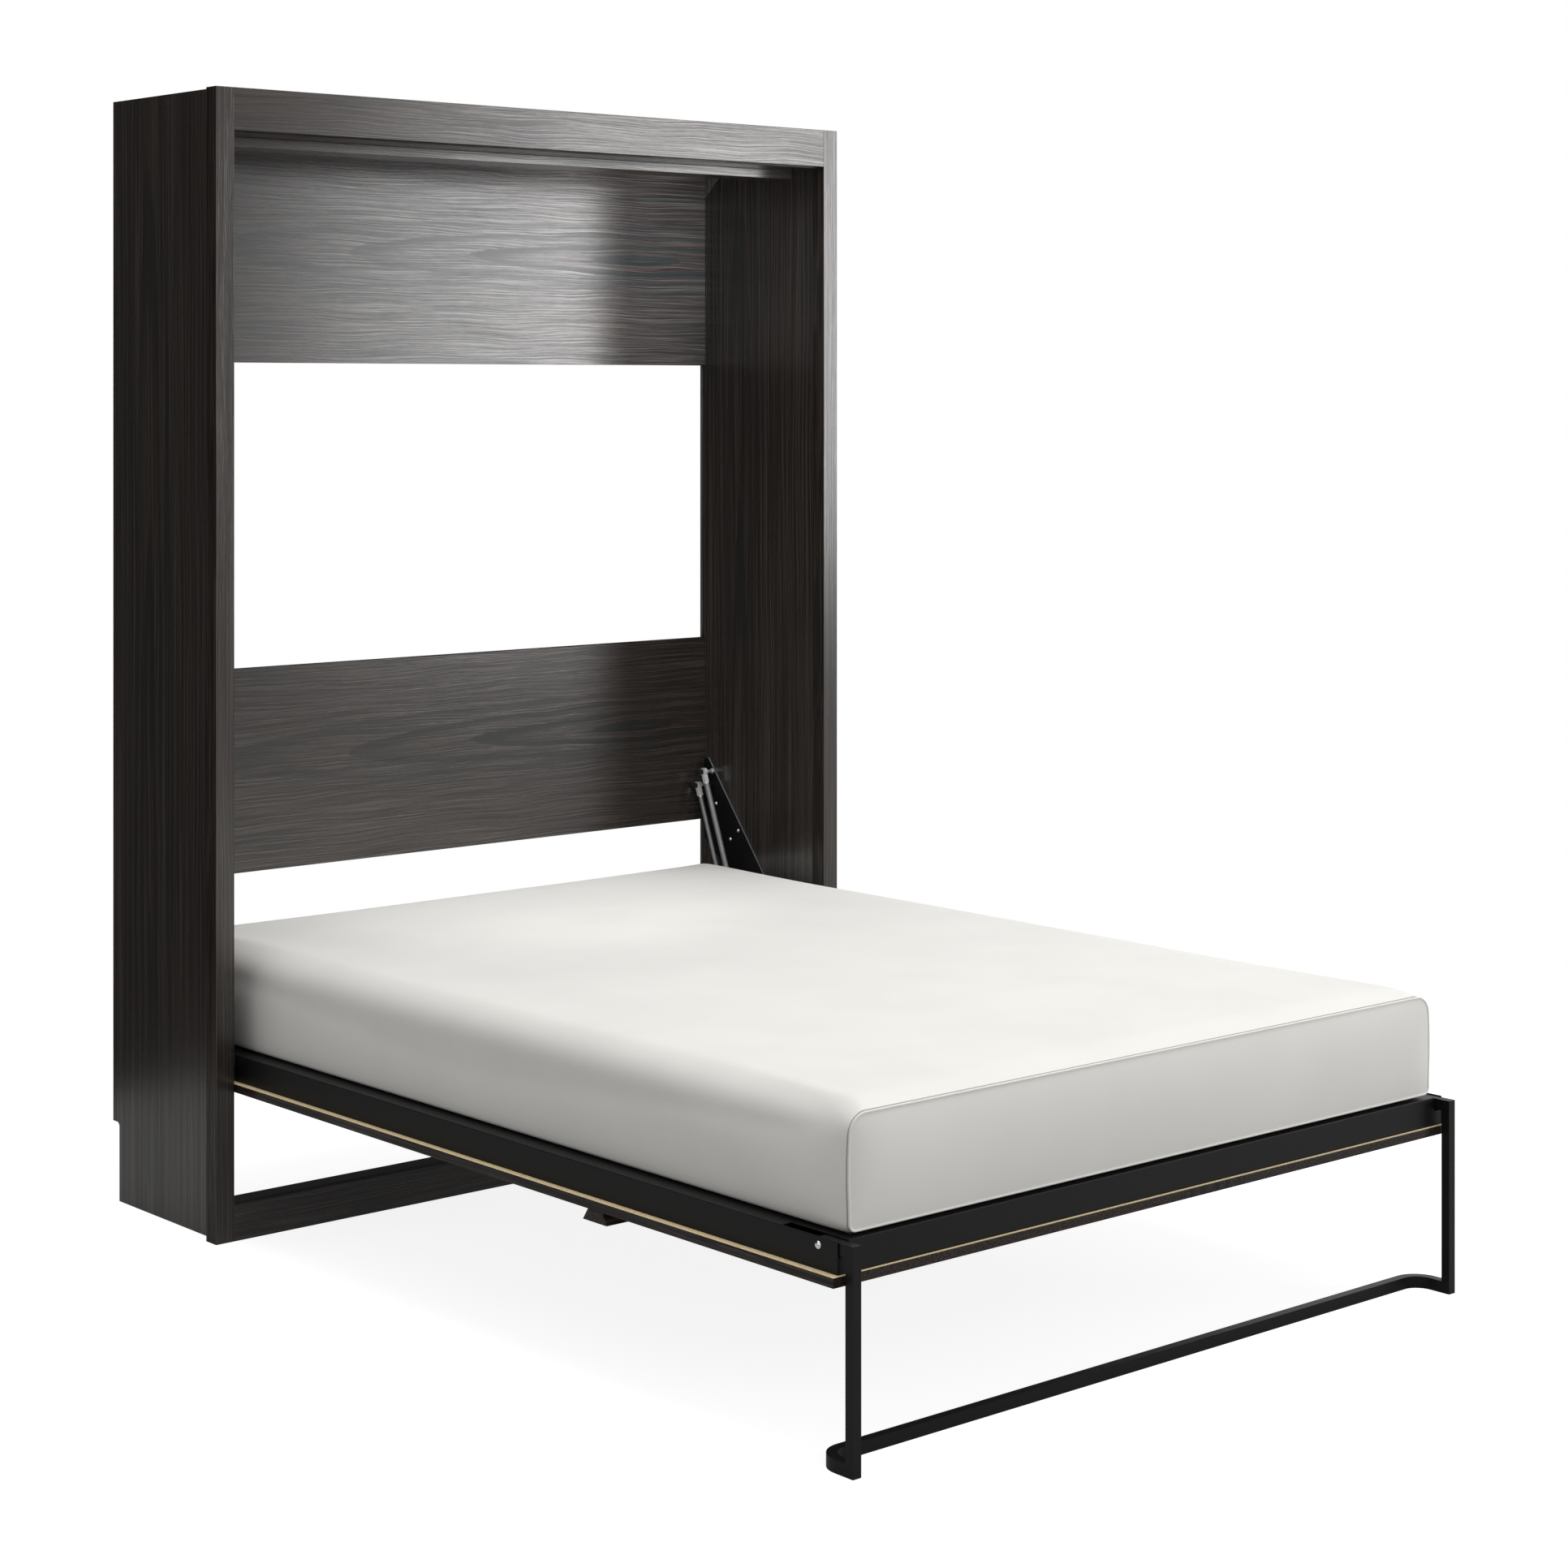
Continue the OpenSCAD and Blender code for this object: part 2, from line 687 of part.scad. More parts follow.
// Flanged nylon bush in the hinge plate and rail, turning on the pivot pin
module pivot_bushes()
    color([0.85, 0.85, 0.82])
        in_frame()
            both_sides()
                difference() {
                    union() {
                        rod_x(rail_inner_x - 1.5, hinge_plate_x + 1, pivot_y, pivot_z, bush_r, 64);
                        rod_x(hinge_plate_x, plate_x - pin_flange_t - bush_end_gap,
                              pivot_y, pivot_z, bush_flange_r, 64);
                    }
                    rod_x(rail_inner_x - 3, plate_x, pivot_y, pivot_z, pivot_r + fit_gap, 64);
                }

// Foot frame ----------------------------------------------------------------------------------

// Dome of a round-head bolt, flat on the XY plane
module bolt_dome(r, h)
    rotate_extrude($fn = 48)
        polygon(concat([[0, 0]], [for (a = [0:10:90]) [r * cos(a), h * sin(a)]]));

// Domed bolt through the rail and the leg's arm, with its nut inside
module leg_bolts() {
    nut_x = leg_x - leg_w - 0.5;
    color([0.85, 0.85, 0.86])
        in_frame()
            both_sides() {
                rod_x(nut_x - leg_nut_t - 0.5, rail_x, leg_pivot_y, leg_pivot_z, leg_bolt_r);
                translate([rail_x, leg_pivot_y, leg_pivot_z])
                    rotate([0, 90, 0]) bolt_dome(leg_bolt_head_r, leg_bolt_head_h);
                rod_x(nut_x - leg_nut_t, nut_x, leg_pivot_y, leg_pivot_z, leg_nut_r, 6);
            }
}

// Pin welded inside each rail that the arm rests on while the legs stand
module leg_stops()
    color(black_steel)
        in_frame()
            both_sides()
                rod_x(leg_x - leg_w + 4, rail_inner_x, leg_stop_y, leg_stop_z, leg_stop_r, 32);

// Leg tube with the arm that runs back inside the rail to the pivot bolt
module leg() {
    arm_round_y = leg_pivot_y + arm_tail - arm_h / 2;
    difference() {
        union() {
            box([leg_x - leg_w, leg_front_y, 0], [leg_x, leg_front_y + leg_w, leg_top]);
            box([leg_x - leg_w, leg_front_y, leg_top - arm_h], [leg_x, arm_round_y, leg_top]);
            rod_x(leg_x - leg_w, leg_x, arm_round_y, leg_top - arm_h / 2, arm_h / 2);
        }
        rod_x(leg_x - leg_w - 1, leg_x + 1, leg_pivot_y, leg_pivot_z, leg_bolt_r + fit_gap);
    }
}

module left_leg() color(black_steel) in_frame() left_twin() leg();
module right_leg() color(black_steel) in_frame() leg();

// Foot bar: runs back from each leg, bends inwards and joins across the bed
module foot_bar() {
    bend_x = leg_x - foot_bend_r;
    bend_y = foot_bar_y - foot_bend_r;
    color(black_steel)
        in_frame() {
            both_sides() {
                box([leg_x - leg_w, leg_front_y + leg_w, 0], [leg_x, bend_y, foot_bar_h]);
                translate([bend_x, bend_y, 0])
                    rotate_extrude(angle = 90, $fn = 96)
                        translate([foot_bend_r - leg_w, 0]) square([leg_w, foot_bar_h]);
            }
            box([-bend_x, foot_bar_y - leg_w, 0], [bend_x, foot_bar_y, foot_bar_h]);
        }
}

// Gas springs -----------------------------------------------------------------------------------

// Turns a spring drawn along +Z from its upper pin so that it points at its lower stud
module along_spring(spring) {
    lean = atan2(spring[0] - spring[2], spring[1] - spring[3]);
    translate([spring_x, spring[0], spring[1]]) rotate([180 - lean, 0, 0]) children();
}

function spring_length(spring) = norm([spring[0] - spring[2], spring[1] - spring[3]]);

// Bottom of the tube, measured from the upper pin
function tube_end(spring) = spring_length(spring) - rod_end_len - rod_left_out;

// Flat eye on the end of the tube, turning on the cabinet's pin
module spring_eye(spring, tube_r)
    color(zinc)
        along_spring(spring)
            difference() {
                union() {
                    rotate([0, 90, 0]) cylinder(r = eye_flat, h = eye_w, center = true, $fn = 48);
                    translate([-eye_w / 2, -eye_flat / 2, 0]) cube([eye_w, eye_flat, eye_len - tube_cap_t]);
                    translate([0, 0, eye_len - tube_cap_t - 0.1])
                        cylinder(r = tube_r - 1, h = tube_cap_t + 0.1, $fn = 32);
                }
                rotate([0, 90, 0])
                    cylinder(r = spring_pin_r + fit_gap, h = eye_w + 2, center = true, $fn = 48);
            }

// Steel tube, open at the bottom round its rod guide
module spring_tube(spring, tube_r)
    color([0.45, 0.45, 0.45])
        along_spring(spring)
            difference() {
                translate([0, 0, eye_len]) cylinder(r = tube_r, h = tube_end(spring) - eye_len, $fn = 40);
                translate([0, 0, eye_len + tube_cap_t])
                    cylinder(r = rod_r + 0.3, h = spring_length(spring), $fn = 32);
            }

// Piston rod, from inside the tube to its end fitting
module spring_rod(spring) {
    rod_start = eye_len + tube_cap_t + 4;
    color([0.8, 0.8, 0.82])
        along_spring(spring)
            translate([0, 0, rod_start])
                cylinder(r = rod_r, h = spring_length(spring) - rod_end_len - rod_start, $fn = 32);
}

// End fitting with the stud that bolts to the bed's rail
module spring_rod_end(spring)
    color(zinc)
        along_spring(spring)
            translate([0, 0, spring_length(spring)]) {
                rotate([0, 90, 0]) cylinder(r = rod_end_eye_r, h = eye_w, center = true, $fn = 48);
                translate([0, 0, -rod_end_len]) cylinder(r = rod_end_r, h = rod_end_len, $fn = 32);
                rotate([0, 90, 0]) cylinder(r = stud_r, h = rail_inner_x - 0.5 - spring_x, $fn = 32);
            }

module left_front_tube() in_frame() left_twin() spring_tube(front_spring, front_tube_r);
module left_front_eye() in_frame() left_twin() spring_eye(front_spring, front_tube_r);
module left_front_rod() in_frame() left_twin() spring_rod(front_spring);
module left_front_rod_end() in_frame() left_twin() spring_rod_end(front_spring);
module left_rear_tube() in_frame() left_twin() spring_tube(rear_spring, rear_tube_r);
module left_rear_eye() in_frame() left_twin() spring_eye(rear_spring, rear_tube_r);
module left_rear_rod() in_frame() left_twin() spring_rod(rear_spring);
module left_rear_rod_end() in_frame() left_twin() spring_rod_end(rear_spring);
module right_front_tube() in_frame() spring_tube(front_spring, front_tube_r);
module right_front_eye() in_frame() spring_eye(front_spring, front_tube_r);
module right_front_rod() in_frame() spring_rod(front_spring);
module right_front_rod_end() in_frame() spring_rod_end(front_spring);
module right_rear_tube() in_frame() spring_tube(rear_spring, rear_tube_r);
module right_rear_eye() in_frame() spring_eye(rear_spring, rear_tube_r);
module right_rear_rod() in_frame() spring_rod(rear_spring);
module right_rear_rod_end() in_frame() spring_rod_end(rear_spring);

left_stile();
right_stile();
left_side_panel();
right_side_panel();
fascia();
top_board();
stop_batten();
upper_back_panel();
lower_back_panel();
toe_rail();
toe_rail_shelf();
cam_locks();
cam_bolts();
stile_dowels();
wall_brackets();
bracket_screws();
left_pivot_plate();
right_pivot_plate();
plate_screws();
spring_pins();
spring_pin_caps();
pivot_pins();
face_panel();
handle_moulding();
left_side_rail();
right_side_rail();
foot_rail();
head_rail();
centre_rail();
slat_ledges();
slats();
slat_screws();
mattress_stop();
mattress();
left_hinge_plate();
right_hinge_plate();
hinge_bolts();
pivot_bushes();
leg_bolts();
leg_stops();
left_leg();
right_leg();
foot_bar();
left_front_tube();
left_front_eye();
left_front_rod();
left_front_rod_end();
left_rear_tube();
left_rear_eye();
left_rear_rod();
left_rear_rod_end();
right_front_tube();
right_front_eye();
right_front_rod();
right_front_rod_end();
right_rear_tube();
right_rear_eye();
right_rear_rod();
right_rear_rod_end();
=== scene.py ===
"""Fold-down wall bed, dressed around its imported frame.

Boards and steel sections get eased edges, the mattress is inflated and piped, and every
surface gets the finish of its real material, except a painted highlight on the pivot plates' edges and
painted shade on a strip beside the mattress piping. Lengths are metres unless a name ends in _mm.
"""

import json
import math

import bmesh
import bpy
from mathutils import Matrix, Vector


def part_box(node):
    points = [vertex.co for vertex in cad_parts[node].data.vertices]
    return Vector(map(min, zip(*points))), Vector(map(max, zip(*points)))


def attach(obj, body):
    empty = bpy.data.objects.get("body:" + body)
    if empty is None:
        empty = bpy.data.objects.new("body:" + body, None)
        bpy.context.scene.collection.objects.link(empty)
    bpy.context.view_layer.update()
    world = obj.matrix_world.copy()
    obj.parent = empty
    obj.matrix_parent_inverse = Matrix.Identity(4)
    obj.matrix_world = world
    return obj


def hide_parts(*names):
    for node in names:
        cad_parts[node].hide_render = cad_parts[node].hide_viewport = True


MM = 0.001

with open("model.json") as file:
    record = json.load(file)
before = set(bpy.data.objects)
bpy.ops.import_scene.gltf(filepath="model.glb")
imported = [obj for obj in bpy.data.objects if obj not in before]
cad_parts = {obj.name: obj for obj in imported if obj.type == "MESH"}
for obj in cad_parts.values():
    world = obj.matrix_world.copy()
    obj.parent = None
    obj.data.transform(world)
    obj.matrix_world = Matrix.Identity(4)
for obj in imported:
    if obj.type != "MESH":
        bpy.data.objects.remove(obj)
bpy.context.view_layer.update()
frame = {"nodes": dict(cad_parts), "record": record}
body_of_node = {
    node: body
    for body, members in frame["record"]["behaviour"]["bodies"].items()
    for node in members
}
slot_of_node = {
    part["node"]: part["material_slot"]
    for part in frame["record"]["subparts"]
    if "material_slot" in part
}
scene = bpy.context.scene


# ---------------------------------------------------------------- camera

# Eye height of someone standing to the left of the open bed's foot
eye = bpy.data.cameras.new("eye")
eye.lens = 71.13
eye.sensor_width = 36.0
eye.shift_y = -0.2518
eye.clip_end = 60.0
camera = bpy.data.objects.new("eye", eye)
camera.location = (-3.9404, -4.6270, 1.6714)
camera.rotation_euler = (math.radians(90.0), 0.0, math.radians(-40.945))
scene.collection.objects.link(camera)
scene.camera = camera
scene.view_settings.view_transform = "Standard"


# ---------------------------------------------------------------- small helpers

def linear(hex_code, alpha=1.0):
    """An sRGB hex colour as linear RGBA."""
    def channel(start):
        value = int(hex_code[start:start + 2], 16) / 255
        return value / 12.92 if value <= 0.04045 else ((value + 0.055) / 1.055) ** 2.4
    return (channel(1), channel(3), channel(5), alpha)


def add(tree, kind, inputs=None, **settings):
    """Adds a node. inputs maps a socket's name or number to a value, to a socket that is
    linked to it, or to a node whose first output is linked to it."""
    node = tree.nodes.new(kind)
    for name, value in settings.items():
        setattr(node, name, value)
    for name, value in (inputs or {}).items():
        if isinstance(value, bpy.types.Node):
            value = value.outputs[0]
        if isinstance(value, bpy.types.NodeSocket):
            tree.links.new(value, node.inputs[name])
        else:
            node.inputs[name].default_value = value
    return node


def empty_tree(owner):
    """The node tree of a material or world, with nothing in it."""
    owner.use_nodes = True
    owner.node_tree.nodes.clear()
    return owner.node_tree


def plain_material(name, **shader_inputs):
    """A material of one Principled shader; returns it, its tree and the shader."""
    material = bpy.data.materials.new(name)
    tree = empty_tree(material)
    shader = add(tree, "ShaderNodeBsdfPrincipled", shader_inputs)
    add(tree, "ShaderNodeOutputMaterial", {"Surface": shader})
    return material, tree, shader


def set_ramp(node, stops):
    """Gives a colour ramp its stops: (position, hex colour)."""
    elements = node.color_ramp.elements
    while len(elements) > 1:
        elements.remove(elements[-1])
    elements[0].position, elements[0].color = stops[0][0], linear(stops[0][1])
    for position, colour in stops[1:]:
        elements.new(position).color = linear(colour)


# ---------------------------------------------------------------- finishes

MATH, RANGE, MIX = "ShaderNodeMath", "ShaderNodeMapRange", "ShaderNodeMix"
NOISE, RAMP, BUMP = "ShaderNodeTexNoise", "ShaderNodeValToRGB", "ShaderNodeBump"
# Sockets of a Mix node: its two numbers, its two colours, and the mixed colour
NUMBER_A, NUMBER_B, COLOUR_A, COLOUR_B, MIXED_COLOUR = 2, 3, 6, 7, 2

# The printed figure. A log that narrows by 7 % shows pointed flames, one for each ring
TAPER = 0.072
RING_MM = 24.0
FIRST_RING_MM = 14.0
# From one pale line to the next
LINE_STEP_MM = 8.0


def espresso_oak_laminate(name, gloss):
    """Printed oak laminate, pressed with fine pores and a satin face: charcoal brown with
    paler, wavy grain lines and smooth blue-grey flames where the rings lie flat.

    The mesh attribute "grain" holds the place in the log, in metres: x along the grain, y
    across it, z through the board, counted from the point where the pith meets the face."""
    material, tree, shader = plain_material(
        name, **{"IOR": 1.5, "Roughness": 0.25, "Specular IOR Level": gloss})
    place = add(tree, "ShaderNodeAttribute", attribute_name="grain")
    in_mm = add(tree, "ShaderNodeVectorMath",
                {0: place.outputs["Vector"], 1: (1 / MM, 1 / MM, 1 / MM)}, operation="MULTIPLY")
    along_log, across_log, through = add(tree, "ShaderNodeSeparateXYZ", {0: in_mm}).outputs

    def stretched_noise(long_mm, wide_mm, detail, across=across_log):
        """Noise whose blobs are long_mm long and wide_mm wide."""
        spot = add(tree, "ShaderNodeCombineXYZ", {
            0: add(tree, MATH, {0: along_log, 1: long_mm}, operation="DIVIDE"),
            1: add(tree, MATH, {0: across, 1: wide_mm}, operation="DIVIDE"),
            2: add(tree, MATH, {0: through, 1: wide_mm}, operation="DIVIDE")})
        return add(tree, NOISE, {"Vector": spot, "Scale": 1.0, "Detail": detail, "Roughness": 0.6})

    def moved(value, noise, by_mm):
        """The value moved by noise, up to half of by_mm either way."""
        centred = add(tree, MATH, {0: noise, 1: 0.5}, operation="SUBTRACT")
        shift = add(tree, MATH, {0: centred, 1: by_mm}, operation="MULTIPLY")
        return add(tree, MATH, {0: value, 1: shift}, operation="ADD")

    # Distance from the pith, bent and frayed
    across = moved(across_log, stretched_noise(300.0, 80.0, 1.0), 24.0)
    depth = add(tree, MATH, {0: along_log, 1: TAPER}, operation="MULTIPLY")
    depth_squared = add(tree, MATH, {0: depth, 1: depth}, operation="MULTIPLY")
    radius_squared = add(tree, MATH, {0: across, 1: across, 2: depth_squared}, operation="MULTIPLY_ADD")
    radius = add(tree, MATH, {0: radius_squared}, operation="SQRT")
    bent_radius = moved(radius, stretched_noise(110.0, 26.0, 2.0), 6.0)
    frayed_radius = moved(bent_radius, stretched_noise(16.0, 2.2, 1.0), 3.0)

    # Late wood: a smooth, darker flame in each ring, sharp on its outer side
    ring = add(tree, MATH, {0: frayed_radius, 1: 1 / RING_MM, 2: FIRST_RING_MM / RING_MM},
               operation="MULTIPLY_ADD")
    flame = add(tree, RAMP, {0: add(tree, MATH, {0: ring}, operation="FRACT")})
    set_ramp(flame, [(0.0, "#000000"), (0.40, "#000000"), (0.78, "#ffffff"), (0.97, "#ffffff"),
                     (1.0, "#000000")])
    # Flames fade with the distance from the pith, and come and go along the board
    fade = add(tree, RANGE, {0: frayed_radius, 1: 30.0, 2: 110.0, 3: 1.0, 4: 0.15})
    patch = add(tree, RANGE, {0: stretched_noise(420.0, 55.0, 1.0), 1: 0.35, 2: 0.60, 3: 0.6, 4: 1.0})
    strength = add(tree, MATH, {0: fade, 1: patch}, operation="MULTIPLY")
    flame_share = add(tree, MATH, {0: flame, 1: strength}, operation="MULTIPLY")

    # Thin pale lines run along the board at uneven steps and come and go, with finer lines and
    # short pores between them
    bent = moved(across, stretched_noise(260.0, 34.0, 2.0), 5.0)
    uneven = moved(bent, stretched_noise(1200.0, 22.0, 1.0, bent), 26.0)
    count = add(tree, MATH, {0: uneven, 1: 1 / LINE_STEP_MM}, operation="MULTIPLY")
    step = add(tree, MATH, {0: count}, operation="FRACT")
    from_middle = add(tree, MATH, {0: step, 1: 0.5}, operation="SUBTRACT")
    off_crest = add(tree, MATH, {0: from_middle}, operation="ABSOLUTE")
    crest = add(tree, RANGE, {0: off_crest, 1: 0.0, 2: 0.20, 3: 1.0, 4: 0.0})
    shown = add(tree, RANGE, {0: stretched_noise(300.0, 9.0, 2.0, bent), 1: 0.38, 2: 0.58, 3: 0.15, 4: 1.0})
    pale_line = add(tree, MATH, {0: crest, 1: shown}, operation="MULTIPLY")
    fine = stretched_noise(300.0, 3.0, 2.0, bent)
    pores = stretched_noise(34.0, 1.3, 1.0)
    lines = add(tree, MATH, {0: pale_line, 1: 0.09, 2: fine}, operation="MULTIPLY_ADD")
    ink_colour = add(tree, RAMP, {0: lines})
    set_ramp(ink_colour, [(0.38, "#262221"), (0.48, "#332f2d"), (0.56, "#3d3936"), (0.67, "#504a45")])
    # Bands of warmer and cooler print, a few centimetres wide
    warmth = add(tree, RANGE, {0: stretched_noise(900.0, 26.0, 1.0), 1: 0.40, 2: 0.60, 3: 0.0, 4: 1.0})
    tint = add(tree, MIX, {0: warmth, COLOUR_A: linear("#e5dfdc"), COLOUR_B: linear("#efdfd7")},
               data_type="RGBA")
    tinted = add(tree, MIX, {0: 1.0, COLOUR_A: ink_colour, COLOUR_B: tint.outputs[MIXED_COLOUR]},
                 data_type="RGBA", blend_type="MULTIPLY")
    with_flame = add(tree, MIX, {0: flame_share, COLOUR_A: tinted.outputs[MIXED_COLOUR],
                                 COLOUR_B: linear("#212322")}, data_type="RGBA")
    pore_tone = add(tree, RANGE, {0: pores, 1: 0.35, 2: 0.65, 3: 0.88, 4: 1.12})
    toned = add(tree, "ShaderNodeVectorMath",
                {0: with_flame.outputs[MIXED_COLOUR], "Scale": pore_tone}, operation="SCALE")
    tree.links.new(toned.outputs[0], shader.inputs["Base Color"])

    # The pressed relief follows the printed lines, and lies flat in the flames
    relief = add(tree, MATH, {0: pores, 1: 0.5, 2: lines}, operation="MULTIPLY_ADD")
    height = add(tree, MIX, {0: flame_share, NUMBER_A: relief, NUMBER_B: 0.66})
    roughness = add(tree, RANGE, {0: height, 1: 0.55, 2: 1.0, 3: 0.27, 4: 0.18})
    tree.links.new(roughness.outputs[0], shader.inputs["Roughness"])
    # Ink and open pores take some of the shine away
    ink = add(tree, MATH, {0: pores, 1: 0.35, 2: lines}, operation="MULTIPLY_ADD")
    ink_shine = add(tree, RANGE, {0: ink, 1: 0.55, 2: 0.85, 3: 0.70 * gloss, 4: gloss})
    shine = add(tree, MIX, {0: flame_share, NUMBER_A: ink_shine, NUMBER_B: 0.64 * gloss})
    tree.links.new(shine.outputs[0], shader.inputs["Specular IOR Level"])
    bump = add(tree, BUMP, {"Strength": 0.5, "Distance": 0.3 * MM, "Height": height})
    tree.links.new(bump.outputs[0], shader.inputs["Normal"])
    return material


def speckled(name, colours, grain_mm, shader_inputs, bump_mm=0.0, rough=None):
    """A finish whose only pattern is a fine even speckle, such as powder coat or raw board."""
    material, tree, shader = plain_material(name, **shader_inputs)
    place = add(tree, "ShaderNodeTexCoord").outputs["Object"]
    grain = add(tree, NOISE,
                {"Vector": place, "Scale": 1.0 / (grain_mm * MM), "Detail": 3.0, "Roughness": 0.55})
    tone = add(tree, RAMP, {0: grain})
    set_ramp(tone, colours)
    tree.links.new(tone.outputs[0], shader.inputs["Base Color"])
    if rough:
        gloss = add(tree, RANGE, {0: grain, 1: 0.35, 2: 0.65, 3: rough[0], 4: rough[1]})
        tree.links.new(gloss.outputs[0], shader.inputs["Roughness"])
    if bump_mm:
        bump = add(tree, BUMP, {"Strength": 1.0, "Distance": bump_mm * MM, "Height": grain})
        tree.links.new(bump.outputs[0], shader.inputs["Normal"])
    return material


# Chipboard without laminate on the bed's inner face: straw-coloured chips, no gloss
raw_chipboard = speckled(
    "chipboard_sanded", [(0.30, "#e2c286"), (0.45, "#f8dfac"), (0.55, "#ffebc0"), (0.70, "#fff3d6")],
    3.0, {"Roughness": 0.8, "Specular IOR Level": 0.25}, bump_mm=0.15)
# Powder-coated steel: even black with the faint orange peel of baked powder
powder_coat = speckled(
    "steel_black_powder_coated", [(0.30, "#0c0c0c"), (0.70, "#121212")],
    2.2, {"Roughness": 0.42, "Specular IOR Level": 0.2}, bump_mm=0.03, rough=(0.38, 0.46))
# Zinc-plated steel: pale grey metal, slightly cloudy
zinc_plate = speckled(
    "steel_zinc_plated", [(0.30, "#d2d3d4"), (0.70, "#e6e7e8")],
    6.0, {"Metallic": 0.75, "Roughness": 0.32}, bump_mm=0.01, rough=(0.26, 0.38))
# Die-cast zinc end fittings of the gas springs: bright silver, satin
die_cast_zinc = speckled(
    "zinc_die_cast_bright", [(0.30, "#f3f4f5"), (0.70, "#fbfbfc")],
    4.0, {"Metallic": 0.25, "Roughness": 0.28}, bump_mm=0.01)
# Edge faces of the black pivot plates in grey: a painted highlight where light catches the plate's edge
pivot_edge_highlight = speckled(
    "steel_edge_painted_highlight", [(0.30, "#7c7d7e"), (0.70, "#8e8f90")],
    2.0, {"Metallic": 0.4, "Roughness": 0.35}, bump_mm=0.02)
# Chrome: bright, nearly clean mirror
chrome = speckled(
    "steel_chrome_plated", [(0.30, "#d4d6d8"), (0.70, "#e2e4e6")],
    9.0, {"Metallic": 1.0, "Roughness": 0.12}, rough=(0.09, 0.16))
# Painted steel tube of a gas spring: mid grey, satin
spring_paint = speckled(
    "steel_grey_painted", [(0.30, "#8b8c8d"), (0.70, "#9a9b9c")],
    4.0, {"Metallic": 0.3, "Roughness": 0.34}, bump_mm=0.01, rough=(0.30, 0.40))
# Nylon bush: milky, soft sheen
nylon = speckled(
    "nylon_moulded", [(0.30, "#d2d1ca"), (0.70, "#dedcd4")],
    5.0, {"Roughness": 0.45}, bump_mm=0.01)
# Moulded black plastic cap
black_plastic = speckled(
    "plastic_black_moulded", [(0.30, "#101010"), (0.70, "#181818")],
    1.5, {"Roughness": 0.5}, bump_mm=0.02)


def planed_pine():
    """Planed pine slat: pale yellow with soft brown year rings 6 mm apart, along X."""
    material, tree, shader = plain_material("pine_planed", **{"Roughness": 0.6})
    place = add(tree, "ShaderNodeTexCoord").outputs["Object"]
    log = add(tree, "ShaderNodeMapping", {"Vector": place, "Scale": (6.0, 160.0, 160.0)})
    rings = add(tree, NOISE, {"Vector": log, "Scale": 1.0, "Detail": 3.0})
    tone = add(tree, RAMP, {0: rings})
    set_ramp(tone, [(0.35, "#b98d54"), (0.50, "#d9b57c"), (0.65, "#e6c995")])
    tree.links.new(tone.outputs[0], shader.inputs["Base Color"])
    bump = add(tree, BUMP, {"Strength": 0.6, "Distance": 0.1 * MM, "Height": rings})
    tree.links.new(bump.outputs[0], shader.inputs["Normal"])
    return material


RIB_STEP = 2.4 * MM
# A wave texture of scale 1 repeats every 2 pi / 20 of a metre
WAVE_LENGTH = 2 * math.pi / 20


def knitted_cover():
    """Stretch-knit polyester mattress cover: soft white, fine ribs 2.4 mm apart (drawn
    coarser than the real 1 mm stitches, which would be too fine to show)."""
    material, tree, shader = plain_material(
        "polyester_knitted_white",
        **{"Roughness": 0.85, "Specular IOR Level": 0.25, "Sheen Weight": 0.25, "Sheen Roughness": 0.5})
    place = add(tree, "ShaderNodeTexCoord").outputs["Object"]
    ribs = add(tree, "ShaderNodeTexWave",
               {"Vector": place, "Scale": WAVE_LENGTH / RIB_STEP, "Distortion": 0.6, "Detail": 1.0},
               bands_direction="DIAGONAL")
    cloud = add(tree, NOISE, {"Vector": place, "Scale": 5.0, "Detail": 2.0})
    tone = add(tree, RAMP, {0: cloud})
    set_ramp(tone, [(0.30, "#edece7"), (0.70, "#f2f0eb")])
    tree.links.new(tone.outputs[0], shader.inputs["Base Color"])
    bump = add(tree, BUMP, {"Strength": 0.25, "Distance": 0.15 * MM, "Height": ribs.outputs["Fac"]})
    tree.links.new(bump.outputs[0], shader.inputs["Normal"])
    return material


laminate = espresso_oak_laminate("espresso_oak_laminate_pressed", 1.0)
# Edge banding with the same print, but dull
edge_band = espresso_oak_laminate("espresso_oak_edge_band_dull", 0.2)
cover_knit = knitted_cover()
# Woven tape round the piping cord: the knit's white with a slight shine
piping_tape = speckled(
    "polyester_tape_white", [(0.30, "#efeee9"), (0.70, "#f4f3ee")],
    1.2, {"Roughness": 0.6, "Sheen Weight": 0.2}, bump_mm=0.05)
# A grey strip beside the piping: painted shade of the groove between cord and cover
seam_groove_shade = speckled(
    "knit_seam_painted_shade", [(0.30, "#a3a19c"), (0.70, "#b3b1ac")],
    1.2, {"Roughness": 0.9}, bump_mm=0.1)

finish_of_slot = {
    "espresso_laminate": laminate,
    "black_steel": powder_coat,
    "zinc_steel": zinc_plate,
    "chrome_steel": chrome,
    "spring_tube": spring_paint,
    "pine": planed_pine(),
    "mattress_cover": cover_knit,
    "nylon": nylon,
    "black_plastic": black_plastic,
}


# ---------------------------------------------------------------- pieces made from CAD nodes

def piece(name, mesh, body, slot, *replaced):
    """Puts a mesh in the scene as a piece that rides on a body."""
    obj = bpy.data.objects.new(name, mesh)
    scene.collection.objects.link(obj)
    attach(obj, body)
    if replaced:
        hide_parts(*replaced)


SAME_POINT = 0.005 * MM
FLAT_WITHIN = math.radians(0.4)
SHARP_FROM = math.radians(35)
SHORTEST_EASED = 14 * MM


